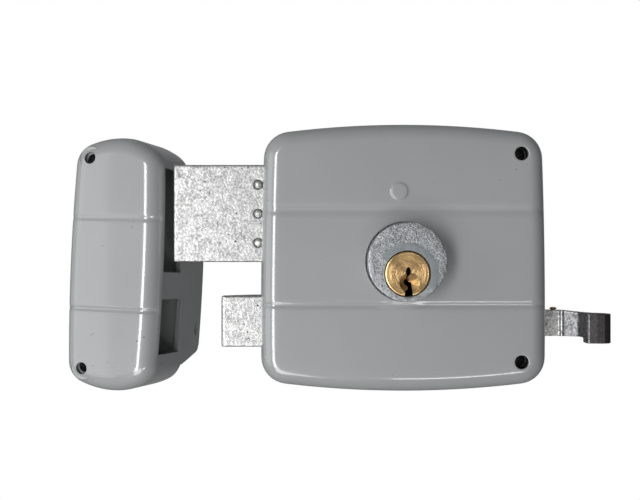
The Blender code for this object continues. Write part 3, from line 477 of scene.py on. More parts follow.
ENAMEL = make_enamel()
BOLT_ZINC = make_metal("bolt_zinc", (0.73, 0.73, 0.72), (0.32, 0.32, 0.32), 300.0, 1100.0, 0.34, 1.0, 0.09,
                       0.7)
CYLINDER_ZINC = make_metal("cylinder_zinc", (0.60, 0.615, 0.625), (0.14, 0.148, 0.155), 420.0, 1900.0, 0.34,
                           0.5, 0.12, 0.8)
RING_ZINC = make_metal("turned_zinc", (0.38, 0.41, 0.425), (0.24, 0.262, 0.275), 300.0, 1700.0, 0.34, 0.1,
                       0.04, 0.5)
PULL_ZINC = make_metal("pull_zinc", (0.92, 0.92, 0.89), (0.26, 0.26, 0.265), 420.0, 1100.0, 0.36, 0.6, 0.08)
# A darker copy of the pull's zinc: painted shade for the facets that step out of the pull.
STEP_SHADE_ZINC = make_metal("pull_step_painted_shade", (0.38, 0.38, 0.39), (0.15, 0.15, 0.155), 420.0, 1300.0, 0.38, 0.4,
                       0.05)
GRIP_ZINC = make_metal("grip_zinc", (0.115, 0.106, 0.106), (0.065, 0.06, 0.062), 160.0, 1400.0, 0.42, 0.2,
                       0.015)
PLATED = make_metal("plated_sheet", (0.72, 0.73, 0.74), (0.52, 0.53, 0.55), 90.0, 900.0, 0.26, 0.2, 0.012,
                    0.5)
STEEL = make_metal("plain_steel", (0.50, 0.50, 0.51), (0.34, 0.34, 0.35), 140.0, 1100.0, 0.34, 0.3, 0.015,
                   0.5)
# Near-black steel for the fixing sleeves: painted shade, so that the screw holes look dark inside.
SLEEVE_SHADE_BLACK = make_metal("sleeve_painted_shade_black", (0.05, 0.05, 0.052), (0.025, 0.025, 0.026), 200.0, 1200.0, 0.5,
                         0.2, 0.01)
SPRING_STEEL = make_metal("spring_steel_dark", (0.34, 0.34, 0.36), (0.20, 0.20, 0.22), 200.0, 1200.0, 0.28,
                          0.2, 0.01)
BRASS = make_brass()
SLOT_SHADE_BRASS = make_slot_shade_brass()
print("materials:", [m.name for m in bpy.data.materials])

# %% [markdown]
# ## The pressed skin of the case and keeper
# Both shells are pressings: a flat face, a rolled edge, straight walls, and a plan outline with crowned ends
# and round corners. A subdivided box would round everything alike, so the skin is worked out instead. An
# inner four-sided curve is pushed outwards: up to the face's edge it stays flat, then it follows a quarter
# circle into the wall. Rows are set close together where the two pressed lines cross, so that the lines can
# be sunk into the mesh itself and stay crisp over the roll.


# %% Skin maths
class Pressing:
    """The outline and rolled section of one pressing, in its own x (across), y (depth) and z (up)."""

    def __init__(self, width, height, depth, crown, bow, corner, roll, flare, lines):
        self.half_w = width / 2 - corner - bow
        self.half_h = height / 2 - corner - crown
        self.depth, self.crown, self.bow = depth, crown, bow
        self.corner, self.roll, self.flare, self.lines = corner, roll, flare, lines
        self.flat = corner - roll

    def top(self, x):
        return self.half_h + self.crown * (1 - (x / self.half_w) ** 2)

    def side(self, z):
        return self.half_w + self.bow * (1 - (z / self.half_h) ** 2)

    def reach(self, x, z):
        """Distance outside the inner curve."""
        x, z = abs(x / (1 - self.flare * z)), abs(z)
        if x > self.half_w and z > self.half_h:
            return math.hypot(x - self.half_w, z - self.half_h)
        if z > self.top(x):
            return (z - self.top(x)) / math.hypot(1, 2 * self.crown * x / self.half_w ** 2)
        return max(0.0, x - self.side(z))

    def face_y(self, x, z):
        """Depth of the outer skin in front of a point, on the face or the roll."""
        over = min(max(self.reach(x, z) - self.flat, 0.0) / self.roll, 1.0)
        return -self.depth + self.roll * (1 - math.sqrt(1 - over ** 2))

    def line_depth(self, z):
        return sum(deep * math.exp(-((z - at) / spread) ** 2) for at, deep, spread in self.lines)

    def columns(self, pitch):
        count = round(2 * self.half_w / pitch)
        return [-self.half_w + 2 * self.half_w * i / count for i in range(count + 1)]

    def rows(self, pitch, fine):
        """Even rows, with finer ones in place of them near each pressed line."""
        count = round(2 * self.half_h / pitch)
        values = [-self.half_h + 2 * self.half_h * i / count for i in range(count + 1)]
        for at, _, spread in self.lines:
            reach = 3 * spread
            values = [z for z in values if abs(z - at) > reach]
            steps = round(2 * reach / fine)
            values += [at - reach + 2 * reach * i / steps for i in range(steps + 1)]
        return sorted(values)


def smooth_step(t):
    t = min(max(t, 0.0), 1.0)
    return t * t * (3 - 2 * t)


def pressing_skin(shape, pitch=1.5 * MM, fine=0.25 * MM, roll_steps=14, wall_steps=6, fan=8):
    """The outer skin as a bmesh: a grid for the face, and rings from its edge over the roll to the back."""
    bm = bmesh.new()
    xs, zs = shape.columns(pitch), shape.rows(pitch, fine)
    grid = {}
    for i, x in enumerate(xs):
        for j, z in enumerate(zs):
            lift = shape.top(x) - shape.half_h
            spread = shape.side(z) - shape.half_w
            up = z + math.copysign(lift * smooth_step((abs(z) / shape.half_h - 0.6) / 0.4), z)
            across = x + math.copysign(spread * smooth_step((abs(x) / shape.half_w - 0.6) / 0.4), x)
            grid[i, j] = bm.verts.new((across, -shape.depth, up))
    last_x, last_z = len(xs) - 1, len(zs) - 1
    for i in range(last_x):
        for j in range(last_z):
            bm.faces.new((grid[i, j], grid[i + 1, j], grid[i + 1, j + 1], grid[i, j + 1]))
    border = edge_walk(shape, xs, zs, grid, fan)
    previous = [vert for vert, _ in border]
    pushes = [(shape.flat * 0.5, 0.0), (shape.flat, 0.0)]
    for k in range(1, roll_steps + 1):
        angle = math.pi / 2 * k / roll_steps
        pushes.append((shape.flat + shape.roll * math.sin(angle), shape.roll * (1 - math.cos(angle))))
    wall = shape.depth - shape.roll
    pushes += [(shape.corner, shape.roll + wall * k / wall_steps) for k in range(1, wall_steps + 1)]
    for push, back in pushes:
        ring = []
        for vert, normal in border:
            ring.append(bm.verts.new((vert.co.x + normal.x * push, back - shape.depth,
                                      vert.co.z + normal.y * push)))
        bridge(bm, previous, ring)
        previous = ring
    for vert in bm.verts:
        vert.co.x *= 1 - shape.flare * vert.co.z
    return bm, border, previous


def edge_walk(shape, xs, zs, grid, fan):
    """The grid's border vertices in order, each with its outward direction, and fans at the corners."""
    last_x, last_z = len(xs) - 1, len(zs) - 1

    def top_normal(x, sign):
        return Vector((2 * shape.crown * x / shape.half_w ** 2, sign)).normalized()

    def side_normal(z, sign):
        return Vector((sign, 2 * shape.bow * z / shape.half_h ** 2)).normalized()

    sides = [
        [(grid[i, last_z], top_normal(xs[i], 1)) for i in range(last_x + 1)],
        [(grid[last_x, j], side_normal(zs[j], 1)) for j in range(last_z, -1, -1)],
        [(grid[i, 0], top_normal(xs[i], -1)) for i in range(last_x, -1, -1)],
        [(grid[0, j], side_normal(zs[j], -1)) for j in range(last_z + 1)],
    ]
    walk = []
    for side, following in zip(sides, sides[1:] + sides[:1]):
        walk += side
        start, finish = side[-1], following[0]
        for k in range(1, fan):
            walk.append((start[0], start[1].slerp(finish[1], k / fan)))
    return walk


def set_round_feature(bm, shape, centre, rings, segments=64):
    """Cut a round patch out of the face and put in rings of (radius, drop behind the skin)."""
    spot = Vector((centre[0], 0, centre[1]))
    patch = rings[0][0]
    away = 0.8 * MM

    def inside(face):
        return any((Vector((v.co.x, 0, v.co.z)) - spot).length < patch + away for v in face.verts)

    in_front = -shape.depth + 0.9 * shape.roll
    doomed = [f for f in bm.faces if all(v.co.y < in_front for v in f.verts) and inside(f)]
    edges = {e for f in doomed for e in f.edges}
    bmesh.ops.delete(bm, geom=doomed, context="FACES")
    rim = [e for e in edges if e.is_valid and len(e.link_faces) == 1]
    previous = None
    for radius, drop in rings:
        ring = []
        for k in range(segments if radius > 0 else 1):
            angle = 2 * math.pi * k / segments
            x, z = centre[0] + radius * math.cos(angle), centre[1] + radius * math.sin(angle)
            ring.append(bm.verts.new((x, shape.face_y(x, z) + drop, z)))
        if previous is None:
            circle = [bm.edges.new((ring[k], ring[(k + 1) % segments])) for k in range(segments)]
            bmesh.ops.triangle_fill(bm, edges=rim + circle, use_beauty=True)
        else:
            bridge(bm, previous, ring)
        previous = ring


def rounded_hole(radius, lip, outer, neck):
    """Rings for a hole whose rim rolls inwards with the lip's radius and then runs straight for neck."""
    rings = [(outer, 0.0), ((outer + radius + lip) / 2, 0.0), (radius + lip, 0.0)]
    for k in range(1, 7):
        angle = math.pi / 2 * k / 6
        rings.append((radius + lip * (1 - math.sin(angle)), lip * (1 - math.cos(angle))))
    return rings + [(radius, lip + neck)]


def sink_lines(bm, shape):
    """Press the lines into the face and over the roll, fading them out down the walls."""
    for vert in bm.verts:
        reach = shape.reach(vert.co.x, vert.co.z)
        over = min(max(reach - shape.flat, 0.0) / shape.roll, 1.0)
        if vert.co.y > -shape.depth + shape.roll:
            over = 1.0
        fade = 1 - smooth_step((over - 0.75) / 0.25)
        deep = shape.line_depth(vert.co.z) * fade
        if deep > 0:
            aside = math.copysign(over, vert.co.x)
            vert.co.x -= deep * aside
            vert.co.y += deep * math.sqrt(1 - over ** 2)


def thicken(obj, wall):
    modifier = obj.modifiers.new("wall", "SOLIDIFY")
    modifier.thickness = wall
    modifier.offset = -1
    bake_modifiers(obj)


# %% [markdown]
# ## Case cover
# The cover has two screw holes with softly rolled rims, a big hole for the key cylinder, a small raised disc
# and two pressed lines. The openings for the bolts and the pull are cut through its walls at the end.

# %% Case cover
CYLINDER_AXIS = (0.4 * MM, -1.3 * MM)
PLUG_AXIS = (0.4 * MM, -5.3 * MM)
case_press = Pressing(
    width=99 * MM, height=93 * MM, depth=29 * MM, crown=2.4 * MM, bow=0.4 * MM, corner=9.5 * MM,
    roll=5.6 * MM,
    flare=0.26, lines=((16.4 * MM, 0.36 * MM, 1.5 * MM), (-16.4 * MM, 0.40 * MM, 0.95 * MM)))


def build_case_cover():
    bm, _, _ = pressing_skin(case_press)
    for z in (36 * MM, -36 * MM):
        set_round_feature(bm, case_press, (40.6 * MM, z),
                          rounded_hole(2.35 * MM, 0.4 * MM, 3.9 * MM, 0.3 * MM))
    set_round_feature(bm, case_press, CYLINDER_AXIS, rounded_hole(13.7 * MM, 0.3 * MM, 14.8 * MM, 0.2 * MM),
                      128)
    disc = [(3.9 * MM, 0), (3.15 * MM, 0), (3.0 * MM, -0.06 * MM), (2.85 * MM, -0.2 * MM),
            (2.7 * MM, -0.31 * MM),
            (2.5 * MM, -0.35 * MM), (1.2 * MM, -0.35 * MM), (0, -0.35 * MM)]
    set_round_feature(bm, case_press, (-1.6 * MM, 23.0 * MM), disc, 48)
    outward(bm)
    sink_lines(bm, case_press)
    cover = to_object("case_cover_pressing", bm, (ENAMEL,), 50)
    thicken(cover, 1.9 * MM)
    tools = []
    for name, nodes, room in (("deadbolt_mouth", ("deadbolt_head",), 0.5),
                              ("latch_mouth", ("latch_head",), 0.5)):
        low, high = (Vector(v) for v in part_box(nodes[0]))
        gap = room * MM
        tools.append(box_tool(name, (-60 * MM, low.y - gap, low.z - gap),
                              (-44 * MM, high.y + gap, high.z + gap)))
    low, high = (Vector(v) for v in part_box("latch_rod"))
    gap = 0.6 * MM
    tools.append(box_tool("pull_mouth", (44 * MM, low.y - gap, low.z - gap),
                          (60 * MM, high.y + gap, high.z + gap)))
    carve(cover, *tools, smooth_angle=50)
    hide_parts("case_cover")
    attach(cover, "case")
    return cover


case_cover = build_case_cover()
print("case cover faces:", len(case_cover.data.polygons))

# %% [markdown]
# ## Keeper
# The keeper is a narrow pressing of the same kind. Its right wall carries on behind its back as a flange
# that lies on the door frame's edge, with a window for each bolt. Only the rows of the wall between the
# flange's ends are carried on, so wall and flange are one sheet without a seam, and its corners and windows
# are then cut out. It is made square in its own frame and the finished mesh is turned to the way it lies, so
# that the object itself stays unturned.

# %% Keeper pressing
KEEPER_CENTRE = Vector((-103.97, -15.91, -2.18)) * MM
KEEPER_TURN = Euler((math.radians(-1.2), math.radians(2.1), math.radians(-15.4)), "ZXY")
KEEPER_DEPTH = 26 * MM
FLANGE_REACH = 42.5 * MM
FLANGE_ENDS = 38.6 * MM
KEEPER_SIDE = 18.45 * MM
keeper_place = Matrix.Translation(KEEPER_CENTRE) @ KEEPER_TURN.to_matrix().to_4x4()
keeper_press = Pressing(
    width=2 * KEEPER_SIDE, height=91.6 * MM, depth=KEEPER_DEPTH, crown=1.7 * MM, bow=0.9 * MM,
    corner=8.6 * MM,
    roll=6.5 * MM, flare=0.0, lines=((16.4 * MM, 0.36 * MM, 1.0 * MM), (-16.4 * MM, 0.42 * MM, 0.8 * MM)))


def add_flange(bm, border, ring, ends, reach, steps=5):
    """Carry the right wall on past the back as far as reach, between its two ends."""
    rows = [k for k, (_, normal) in enumerate(border) if normal.x > 0.8 and abs(ring[k].co.z) < ends]
    previous = [ring[k] for k in rows]
    for step in range(1, steps + 1):
        line = [bm.verts.new((v.co.x, reach * step / steps, v.co.z)) for v in (ring[k] for k in rows)]
        for (a, b), (c, d) in zip(zip(previous, previous[1:]), zip(line, line[1:])):
            bm.faces.new((a, b, d, c))
        previous = line


def side_cutter(name, outline):
    """A tool through the right wall from an outline of (distance behind the face, height), in mm."""
    spots = [((w * MM - KEEPER_DEPTH), v * MM) for w, v in outline]
    return extrude(name, spots, "X", 11 * MM, 25 * MM)


def build_keeper():
    bm, border, ring = pressing_skin(keeper_press, pitch=1.2 * MM)
    add_flange(bm, border, ring, FLANGE_ENDS, FLANGE_REACH - KEEPER_DEPTH)
    for z in (38 * MM, -38 * MM):
        set_round_feature(bm, keeper_press, (-9.9 * MM, z),
                          rounded_hole(2.2 * MM, 0.10 * MM, 2.4 * MM, 0.4 * MM), 48)
    outward(bm)
    sink_lines(bm, keeper_press)
    for vert in bm.verts:
        to_right = smooth_step((vert.co.x - 4 * MM) / (12 * MM))
        vert.co.z -= 1.5 * MM * to_right * smooth_step((vert.co.z - 30 * MM) / (14 * MM))
        vert.co.z += 0.7 * MM * to_right * smooth_step((-vert.co.z - 30 * MM) / (14 * MM))
    shell = to_object("keeper_pressing", bm, (ENAMEL,), 50)
    thicken(shell, 1.9 * MM)
    top = [(26.2, 50), (26.2, 37.3), (28, 36.9), (40.4, 33.2), (41.8, 32.2), (42.3, 30.6), (44, 30.4),
           (44, 50)]
    tools = [side_cutter("flange_top", top), side_cutter("flange_foot", [(w, -v) for w, v in top])]
    for name, low, high, right in (("deadbolt_window", -2.4, 35.0, 20.5),
                                   ("latch_window", -32.0, -12.1, 22.6)):
        tools.append(side_cutter(name, [(5.2, low), (right, low), (right, high), (5.2, high)]))
    for v in (24.6, -24.6):
        slot = [(38.4 + 1.7 * math.cos(a),
                 v + 2.1 * math.sin(a)) for a in (math.tau * k / 32 for k in range(32))]
        slot = [(w, z + 1.3 if z > v + 1 else z) for w, z in slot]
        tools.append(side_cutter("side_screw_hole", slot))
    carve(shell, *tools, smooth_angle=50)
    shell.data.transform(keeper_place @ Matrix.Translation((0, KEEPER_DEPTH, 0)))
    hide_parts("keeper_shell", "keeper_side_plate")
    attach(shell, "keeper")
    return shell


keeper_shell = build_keeper()
print("keeper faces:", len(keeper_shell.data.polygons))


# %% [markdown]
# ## Die-cast bolts and pull
# The deadbolt, the latch and the finger pull come out of a die: their edges are soft, their faces are never
# quite flat, and the deadbolt shows shallow marks of the ejector pins near its corners. A copy of the
# frame's solid is remeshed in small even cells, which rounds the edges a little as a die does. Then each
# point is moved inwards by a few hundredths of a millimetre with two sizes of noise. It never moves
# outwards, so the piece keeps its size.

# %% Cast pieces
def cast_skin(piece, cell, uneven, marks=(), smooth=2):
    """Remesh a piece in small cells, then give it an uneven cast surface and round marks on its front."""
    remesh = piece.modifiers.new("cells", "REMESH")
    remesh.mode = "VOXEL"
    remesh.voxel_size = cell
    relax = piece.modifiers.new("relax", "SMOOTH")
    relax.factor, relax.iterations = 0.5, smooth
    bake_modifiers(piece, None)
    spots = [(vert.co.copy(), vert.normal.copy()) for vert in piece.data.vertices]
    front = min(spot.y for spot, _ in spots)
    for vert, (spot, normal) in zip(piece.data.vertices, spots):
        broad = noise.noise(spot * 350) + 0.5 * noise.noise(spot * 900)
        inwards = uneven * (0.6 + 0.4 * broad)
        if spot.y < front + cell:
            for x, z, radius, lift in marks:
                away = math.hypot(spot.x - x, spot.z - z) / radius
                inwards -= lift * math.exp(-away ** 4)
        vert.co = spot - normal * inwards
    piece.data.shade_smooth()
    piece.data.set_sharp_from_angle(angle=math.radians(50))
    return piece


def node_copy(name, node):
    """A welded copy of a frame node under a new name, which takes the node's place."""
    bm = bmesh.new()
    bm.from_mesh(frame["nodes"][node].data)
    bmesh.ops.remove_doubles(bm, verts=bm.verts, dist=2e-6)
    piece = to_object(name, bm, (), 180)
    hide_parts(node)
    return piece


def finish(piece, material, body, slot):
    piece.data.materials.clear()
    piece.data.materials.append(material)
    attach(piece, body)
    return piece


bolt_low, bolt_high = (Vector(v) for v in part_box("deadbolt_head"))
inset = 3.0 * MM
ejector_marks = [(bolt_low.x + inset, bolt_high.z - inset, 1.5 * MM, -0.10 * MM),
                 (bolt_low.x + inset, bolt_low.z + inset, 1.4 * MM, 0.05 * MM),
                 (bolt_low.x + 2.6 * inset, bolt_high.z - 2.4 * inset, 1.1 * MM, -0.07 * MM),
                 (bolt_high.x - 2.8 * inset, bolt_low.z + 3 * inset, 0.6 * MM, -0.12 * MM)]
deadbolt = cast_skin(node_copy("deadbolt_casting", "deadbolt_head"), 0.33 * MM, 0.07 * MM, ejector_marks)
finish(deadbolt, BOLT_ZINC, "deadbolt", "zinc_casting")
latch = cast_skin(node_copy("latch_casting", "latch_head"), 0.33 * MM, 0.06 * MM)
finish(latch, BOLT_ZINC, "latch", "zinc_casting")
print("cast faces:", [len(piece.data.polygons) for piece in (deadbolt, latch)])

# %% [markdown]
# ## Finger pull
# The pull is a casting riveted to the end of the latch's rod. Seen from above it is a plate over the rod's
# end, a small ridge, two facets that step out into the room, and a thick grip that hangs a little lower. The
# outline is drawn from above and pulled up to height. The two blocks overlap and the remeshing joins them.
# The plate is closed in front and slotted behind, so that it takes the rod's tongue.

# %% Finger pull
PULL_FRONT = [(50.3, -13.4), (56.9, -13.7), (57.7, -14.4), (58.0, -14.4), (58.8, -13.8), (62.9, -16.0),
              (63.15, -15.6), (63.45, -16.3), (64.2, -20.6), (64.5, -22.7), (65.1, -23.5), (68.0, -23.95),
              (70.6, -24.0),
              (72.2, -23.3), (73.2, -22.0), (73.9, -19.2)]
PULL_BACK = [(73.0, -16.0), (70.2, -14.0), (64.0, -11.8), (59.0, -9.6), (50.3, -9.6)]
GRIP_OUTLINE = [(64.5, -18.0), (64.4, -21.8), (64.7, -23.0), *PULL_FRONT[10:], (73.0, -16.4), (70.2, -15.0),
                (66.0, -15.0)]


def build_pull():
    pull_low, pull_high = (Vector(v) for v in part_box("pull_handle"))
    rod_low, _ = (Vector(v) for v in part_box("latch_rod"))
    bar_low = rod_low.z - 0.4 * MM
    parts = [extrude("pull_bar", [(x * MM, y * MM) for x, y in PULL_FRONT + PULL_BACK], "Z", bar_low,
                     pull_high.z),
             extrude("pull_grip", [(x * MM, y * MM) for x, y in GRIP_OUTLINE], "Z", pull_low.z,
                     bar_low + 1.5 * MM)]
    carve(parts[0],
          box_tool("tongue_slot", (49 * MM, -12.9 * MM, -26.2 * MM), (58.1 * MM, -9 * MM, -20.8 * MM)),
          lathe("rivet_hole", [(0, -35 * MM), (1.1 * MM, -35 * MM), (1.1 * MM, 0), (0, 0)],
                (55.4 * MM, -11.1 * MM), "Z", 24))
    bm = bmesh.new()
    for part in parts:
        carve(part, lathe("curl_hole", [(0, -35 * MM), (1.5 * MM, -35 * MM), (1.5 * MM, 0), (0, 0)],
                          (69.6 * MM, -20.0 * MM), "Z", 32))
        bm.from_mesh(part.data)
        bpy.data.objects.remove(part)
    pull = to_object("finger_pull", bm, (), 180)
    cast_skin(pull, 0.2 * MM, 0.045 * MM, smooth=1)
    for vert in pull.data.vertices:
        along = smooth_step((vert.co.x - 56 * MM) / (14 * MM))
        upper = smooth_step((vert.co.z + 26 * MM) / (7 * MM))
        vert.co.z -= 0.9 * MM * along * upper
    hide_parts("pull_handle")
    finish(pull, PULL_ZINC, "latch", "zinc_casting")
    pull.data.materials.append(STEP_SHADE_ZINC)
    pull.data.materials.append(GRIP_ZINC)
    # The stepped facets take the darker copy of the zinc, which is painted shade.
    for face in pull.data.polygons:
        in_front = face.normal.y < 0.3
        if face.center.x > 65.35 * MM and face.center.y < -18.8 * MM:
            face.material_index = 2
        elif face.center.x > 58.6 * MM and in_front:
            face.material_index = 1
    return pull


pull = build_pull()
print("finger pull faces:", len(pull.data.polygons))

# %% [markdown]
# ## Key cylinder
# The housing is a zinc casting too, turned on a lathe afterwards: a ring round the plug is smoother than the
# rest. Its profile is revolved with close rings on the front face, so that the rim and the face can be made
# uneven in the mesh. The plug's bore lies below the middle, so it is cut out afterwards. The plug is turned
# brass, with fine concentric ridges in the mesh itself, an oval hole and a stepped key slot that runs out at
# the bottom, where the housing has a shallow notch. Part of the smoother ring has a finish of its own. The
# walls and floor of the slot are a near-black brass, painted shade for the depth of the slot.

# %% Cylinder housing
house_low, house_high = (Vector(v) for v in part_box("cylinder_housing"))
plug_low, plug_high = (Vector(v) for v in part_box("cylinder_plug"))
HOUSE_FRONT, HOUSE_BACK = house_low.y, house_high.y
PLUG_FRONT = plug_low.y
PLUG_RADIUS = (plug_high.x - plug_low.x) / 2
BORE_RADIUS = PLUG_RADIUS + 0.2 * MM
HOUSE_RADIUS = 13.4 * MM
FLANGE_RADIUS, FLANGE_FRONT, FLANGE_BACK = 15.4 * MM, -26.6 * MM, -24.9 * MM


def build_housing():
    """The turned and cast body of the cylinder, with its bore, pin chambers and strip seat."""
    face = [(r / 40 * (HOUSE_RADIUS - 0.35 * MM), HOUSE_FRONT) for r in range(41)]
    roll = [(HOUSE_RADIUS - 0.12 * MM, HOUSE_FRONT + 0.08 * MM), (HOUSE_RADIUS, HOUSE_FRONT + 0.32 * MM)]
    steps = 24
    wall = [(HOUSE_RADIUS,
             HOUSE_FRONT + 0.32 * MM + (FLANGE_FRONT - HOUSE_FRONT) * k / steps) for k in range(1, steps)]
    rest = [(HOUSE_RADIUS, FLANGE_FRONT), (FLANGE_RADIUS, FLANGE_FRONT), (FLANGE_RADIUS, FLANGE_BACK),
            (12 * MM, FLANGE_BACK), (12 * MM, HOUSE_BACK), (0, HOUSE_BACK)]
    housing = lathe("cylinder_casting", face + roll + wall + rest, CYLINDER_AXIS, "Y", 176, (CYLINDER_ZINC,))
    spots = [(vert.co.copy(), vert.normal.copy()) for vert in housing.data.vertices]
    px, pz = PLUG_AXIS
    for vert, (spot, normal) in zip(housing.data.vertices, spots):
        if spot.y < FLANGE_FRONT - 0.1 * MM:
            turned = smooth_step((math.hypot(spot.x - px, spot.z - pz) - 9.6 * MM) / (1.2 * MM))
            rim = smooth_step((math.hypot(spot.x - px, spot.z - CYLINDER_AXIS[1]) - 12 * MM) / (1.2 * MM))
            lumps = abs(noise.noise(spot * 520)) * (0.07 + 0.22 * rim) + abs(noise.noise(spot * 1500)) * 0.09
            vert.co = spot - normal * lumps * turned * MM
    mouth = BORE_RADIUS + 0.28 * MM
    bore = lathe("plug_bore", [(0, -50 * MM), (mouth, -50 * MM), (mouth, HOUSE_FRONT + 0.9 * MM),
                               (BORE_RADIUS, HOUSE_FRONT + 1.2 * MM), (BORE_RADIUS, 0), (0, 0)], PLUG_AXIS,
                 "Y", 96)
    notch_low = PLUG_AXIS[1] - PLUG_RADIUS - 0.85 * MM
    notch = box_tool("slot_notch", (CYLINDER_AXIS[0] - 0.8 * MM, -50 * MM, notch_low),
                     (CYLINDER_AXIS[0] + 1.75 * MM, HOUSE_FRONT + 0.9 * MM, PLUG_AXIS[1]))
    strip_low, strip_high = (Vector(v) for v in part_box("spring_cover_strip"))
    room = Vector((0.3, 0.3, 0.2)) * MM
    seat = box_tool("strip_seat", strip_low - room, strip_high + room + Vector((0, 0, 5 * MM)))
    tools = [bore, notch, seat]
    for k in range(1, 6):
        low, high = (Vector(v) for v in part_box(f"driver_pin_{k}"))
        centre = ((low.x + high.x) / 2, (low.y + high.y) / 2)
        tools.append(lathe(f"pin_chamber_{k}",
                           [(0, PLUG_AXIS[1]), (1.25 * MM, PLUG_AXIS[1]), (1.25 * MM, 20 * MM),
                                                (0, 20 * MM)], centre, "Z", 24))
    carve(housing, *tools, smooth_angle=35)
    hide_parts("cylinder_housing")
    finish(housing, CYLINDER_ZINC, "case", "zinc_casting")
    housing.data.materials.append(RING_ZINC)
    for face in housing.data.polygons:
        from_plug = math.hypot(face.center.x - px, face.center.z - pz)
        if (face.center.y < HOUSE_FRONT + 0.2 * MM and from_plug < 10.4 * MM
            and face.center.z - pz > -0.6 * (face.center.x - px)):
            face.material_index = 1
    return housing


# %% Cylinder plug
KEY_SLOT = [(-1.25, -1.9), (0.1, -1.9), (0.35, -2.7), (1.3, -2.95), (1.45, -4.0), (1.7, -6.5), (1.7, -8.6),
            (-0.95, -8.6), (-0.95, -5.9), (0.1, -5.1), (0.1, -4.35), (-1.15, -3.4)]
KEY_HOLE, KEY_HOLE_HALF = (0.25, 0.75), (0.85, 1.5)
MOUTH, MOUTH_RADIUS, MOUTH_DEEP = (0.65, -3.05), 3.45, 2.2


def ridge(radius):
    return 0.012 * MM * math.sin(radius / MM * 21) * math.sin(radius / MM * 4.7)


def build_plug():
    rings = 72
    face = [(PLUG_RADIUS * 0.96 * k / rings,
             PLUG_FRONT + abs(ridge(PLUG_RADIUS * k / rings))) for k in range(rings)]
    edge = [(PLUG_RADIUS - 0.28 * MM, PLUG_FRONT), (PLUG_RADIUS - 0.08 * MM, PLUG_FRONT + 0.08 * MM),
            (PLUG_RADIUS, PLUG_FRONT + 0.28 * MM)]
    back = [(PLUG_RADIUS, -9.75 * MM), (6.2 * MM, -9.75 * MM), (6.2 * MM, -8.95 * MM),
            (6.9 * MM, -8.95 * MM),
            (6.9 * MM, -8.55 * MM), (2.8 * MM, -8.55 * MM), (2.8 * MM, plug_high.y), (0, plug_high.y)]
    plug = lathe("plug_turned", face + edge + back, PLUG_AXIS, "Y", 128, (BRASS,))
    px, pz = PLUG_AXIS
    slot = extrude("key_slot", [(px + x * MM, pz + z * MM) for x, z in KEY_SLOT], "Y", -45 * MM, -11 * MM)
    turns = [math.tau * k / 32 for k in range(32)]
    oval = [(px + (KEY_HOLE[0] + KEY_HOLE_HALF[0] * math.cos(a)) * MM,
             pz + (KEY_HOLE[1] + KEY_HOLE_HALF[1] * math.sin(a)) * MM) for a in turns]
    hole = extrude("key_hole", oval, "Y", -45 * MM, -30 * MM)
    neck = extrude("key_neck", [(px - 0.6 * MM, pz - 2.4 * MM), (px - 0.1 * MM, pz - 2.4 * MM),
                                (px + 0.2 * MM, pz - 0.3 * MM), (px - 0.3 * MM, pz - 0.3 * MM)], "Y",
                   -45 * MM, -11 * MM)
    centre = (px + MOUTH[0] * MM, pz + MOUTH[1] * MM)
    front = PLUG_FRONT - 1 * MM
    slope = (MOUTH_RADIUS - 0.5) / MOUTH_DEEP
    mouth = lathe("key_mouth", [(0, front), ((MOUTH_RADIUS + slope) * MM, front),
                                (0.5 * MM, PLUG_FRONT + MOUTH_DEEP * MM), (0, PLUG_FRONT + MOUTH_DEEP * MM)],
                  centre, "Y", 64)
    carve(plug, mouth, slot, hole, neck, smooth_angle=30)
    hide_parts("cylinder_plug")
    finish(plug, BRASS, "plug", "brass")
    plug.data.materials.append(SLOT_SHADE_BRASS)
    # The slot's walls and floor take the near-black brass, which is painted shade for the slot's depth.
    for face in plug.data.polygons:
        from_axis = math.hypot(face.center.x - px, face.center.z - pz)
        inside = -50 * MM < face.center.y < -10 * MM and from_axis < PLUG_RADIUS - 0.05 * MM
        wall = abs(face.normal.y) < 0.2 and face.center.y > PLUG_FRONT + 0.3 * MM
        floor = face.normal.y < -0.9 and face.center.y > PLUG_FRONT + (MOUTH_DEEP + 0.1) * MM
        if inside and (wall or floor):
            face.material_index = 1
    return plug


housing = build_housing()
plug = build_plug()
print("housing and plug faces:", len(housing.data.polygons), len(plug.data.polygons))


# %% [markdown]
# ## Springs, pins and rivets
# What repeats is made by Geometry Nodes. One tree winds a compression spring at every point it is given: a
# spiral whose rise is slow at both ends, so that the end coils close up as on a ground spring, swept with a
# round wire. Another sets a domed round pin at every point, as long as that point's own length. The points
# come from the frame's boxes. Each result is turned into a plain mesh, one for each body.

# %% Geometry Nodes helpers
def geometry_tree(name, inputs):
    tree = bpy.data.node_groups.new(name, "GeometryNodeTree")
    tree.interface.new_socket("Geometry", in_out="INPUT", socket_type="NodeSocketGeometry")
    for label, kind, value in inputs:
        socket = tree.interface.new_socket(label, in_out="INPUT", socket_type=f"NodeSocket{kind}")
        if value is not None:
            socket.default_value = value
    tree.interface.new_socket("Geometry", in_out="OUTPUT", socket_type="NodeSocketGeometry")
    return tree, tree.nodes.new("NodeGroupInput"), tree.nodes.new("NodeGroupOutput")


def step(tree, kind, links=(), **values):
    """Add a geometry node; links are (input name, socket) pairs, values set inputs or properties."""
    node = tree.nodes.new(kind)
    for key, value in values.items():
        label = key.replace("_", " ")
        if label in node.inputs:
            node.inputs[label].default_value = value
        else:
            setattr(node, key, value)
    for label, socket in links:
        tree.links.new(socket, node.inputs[label])
    return node


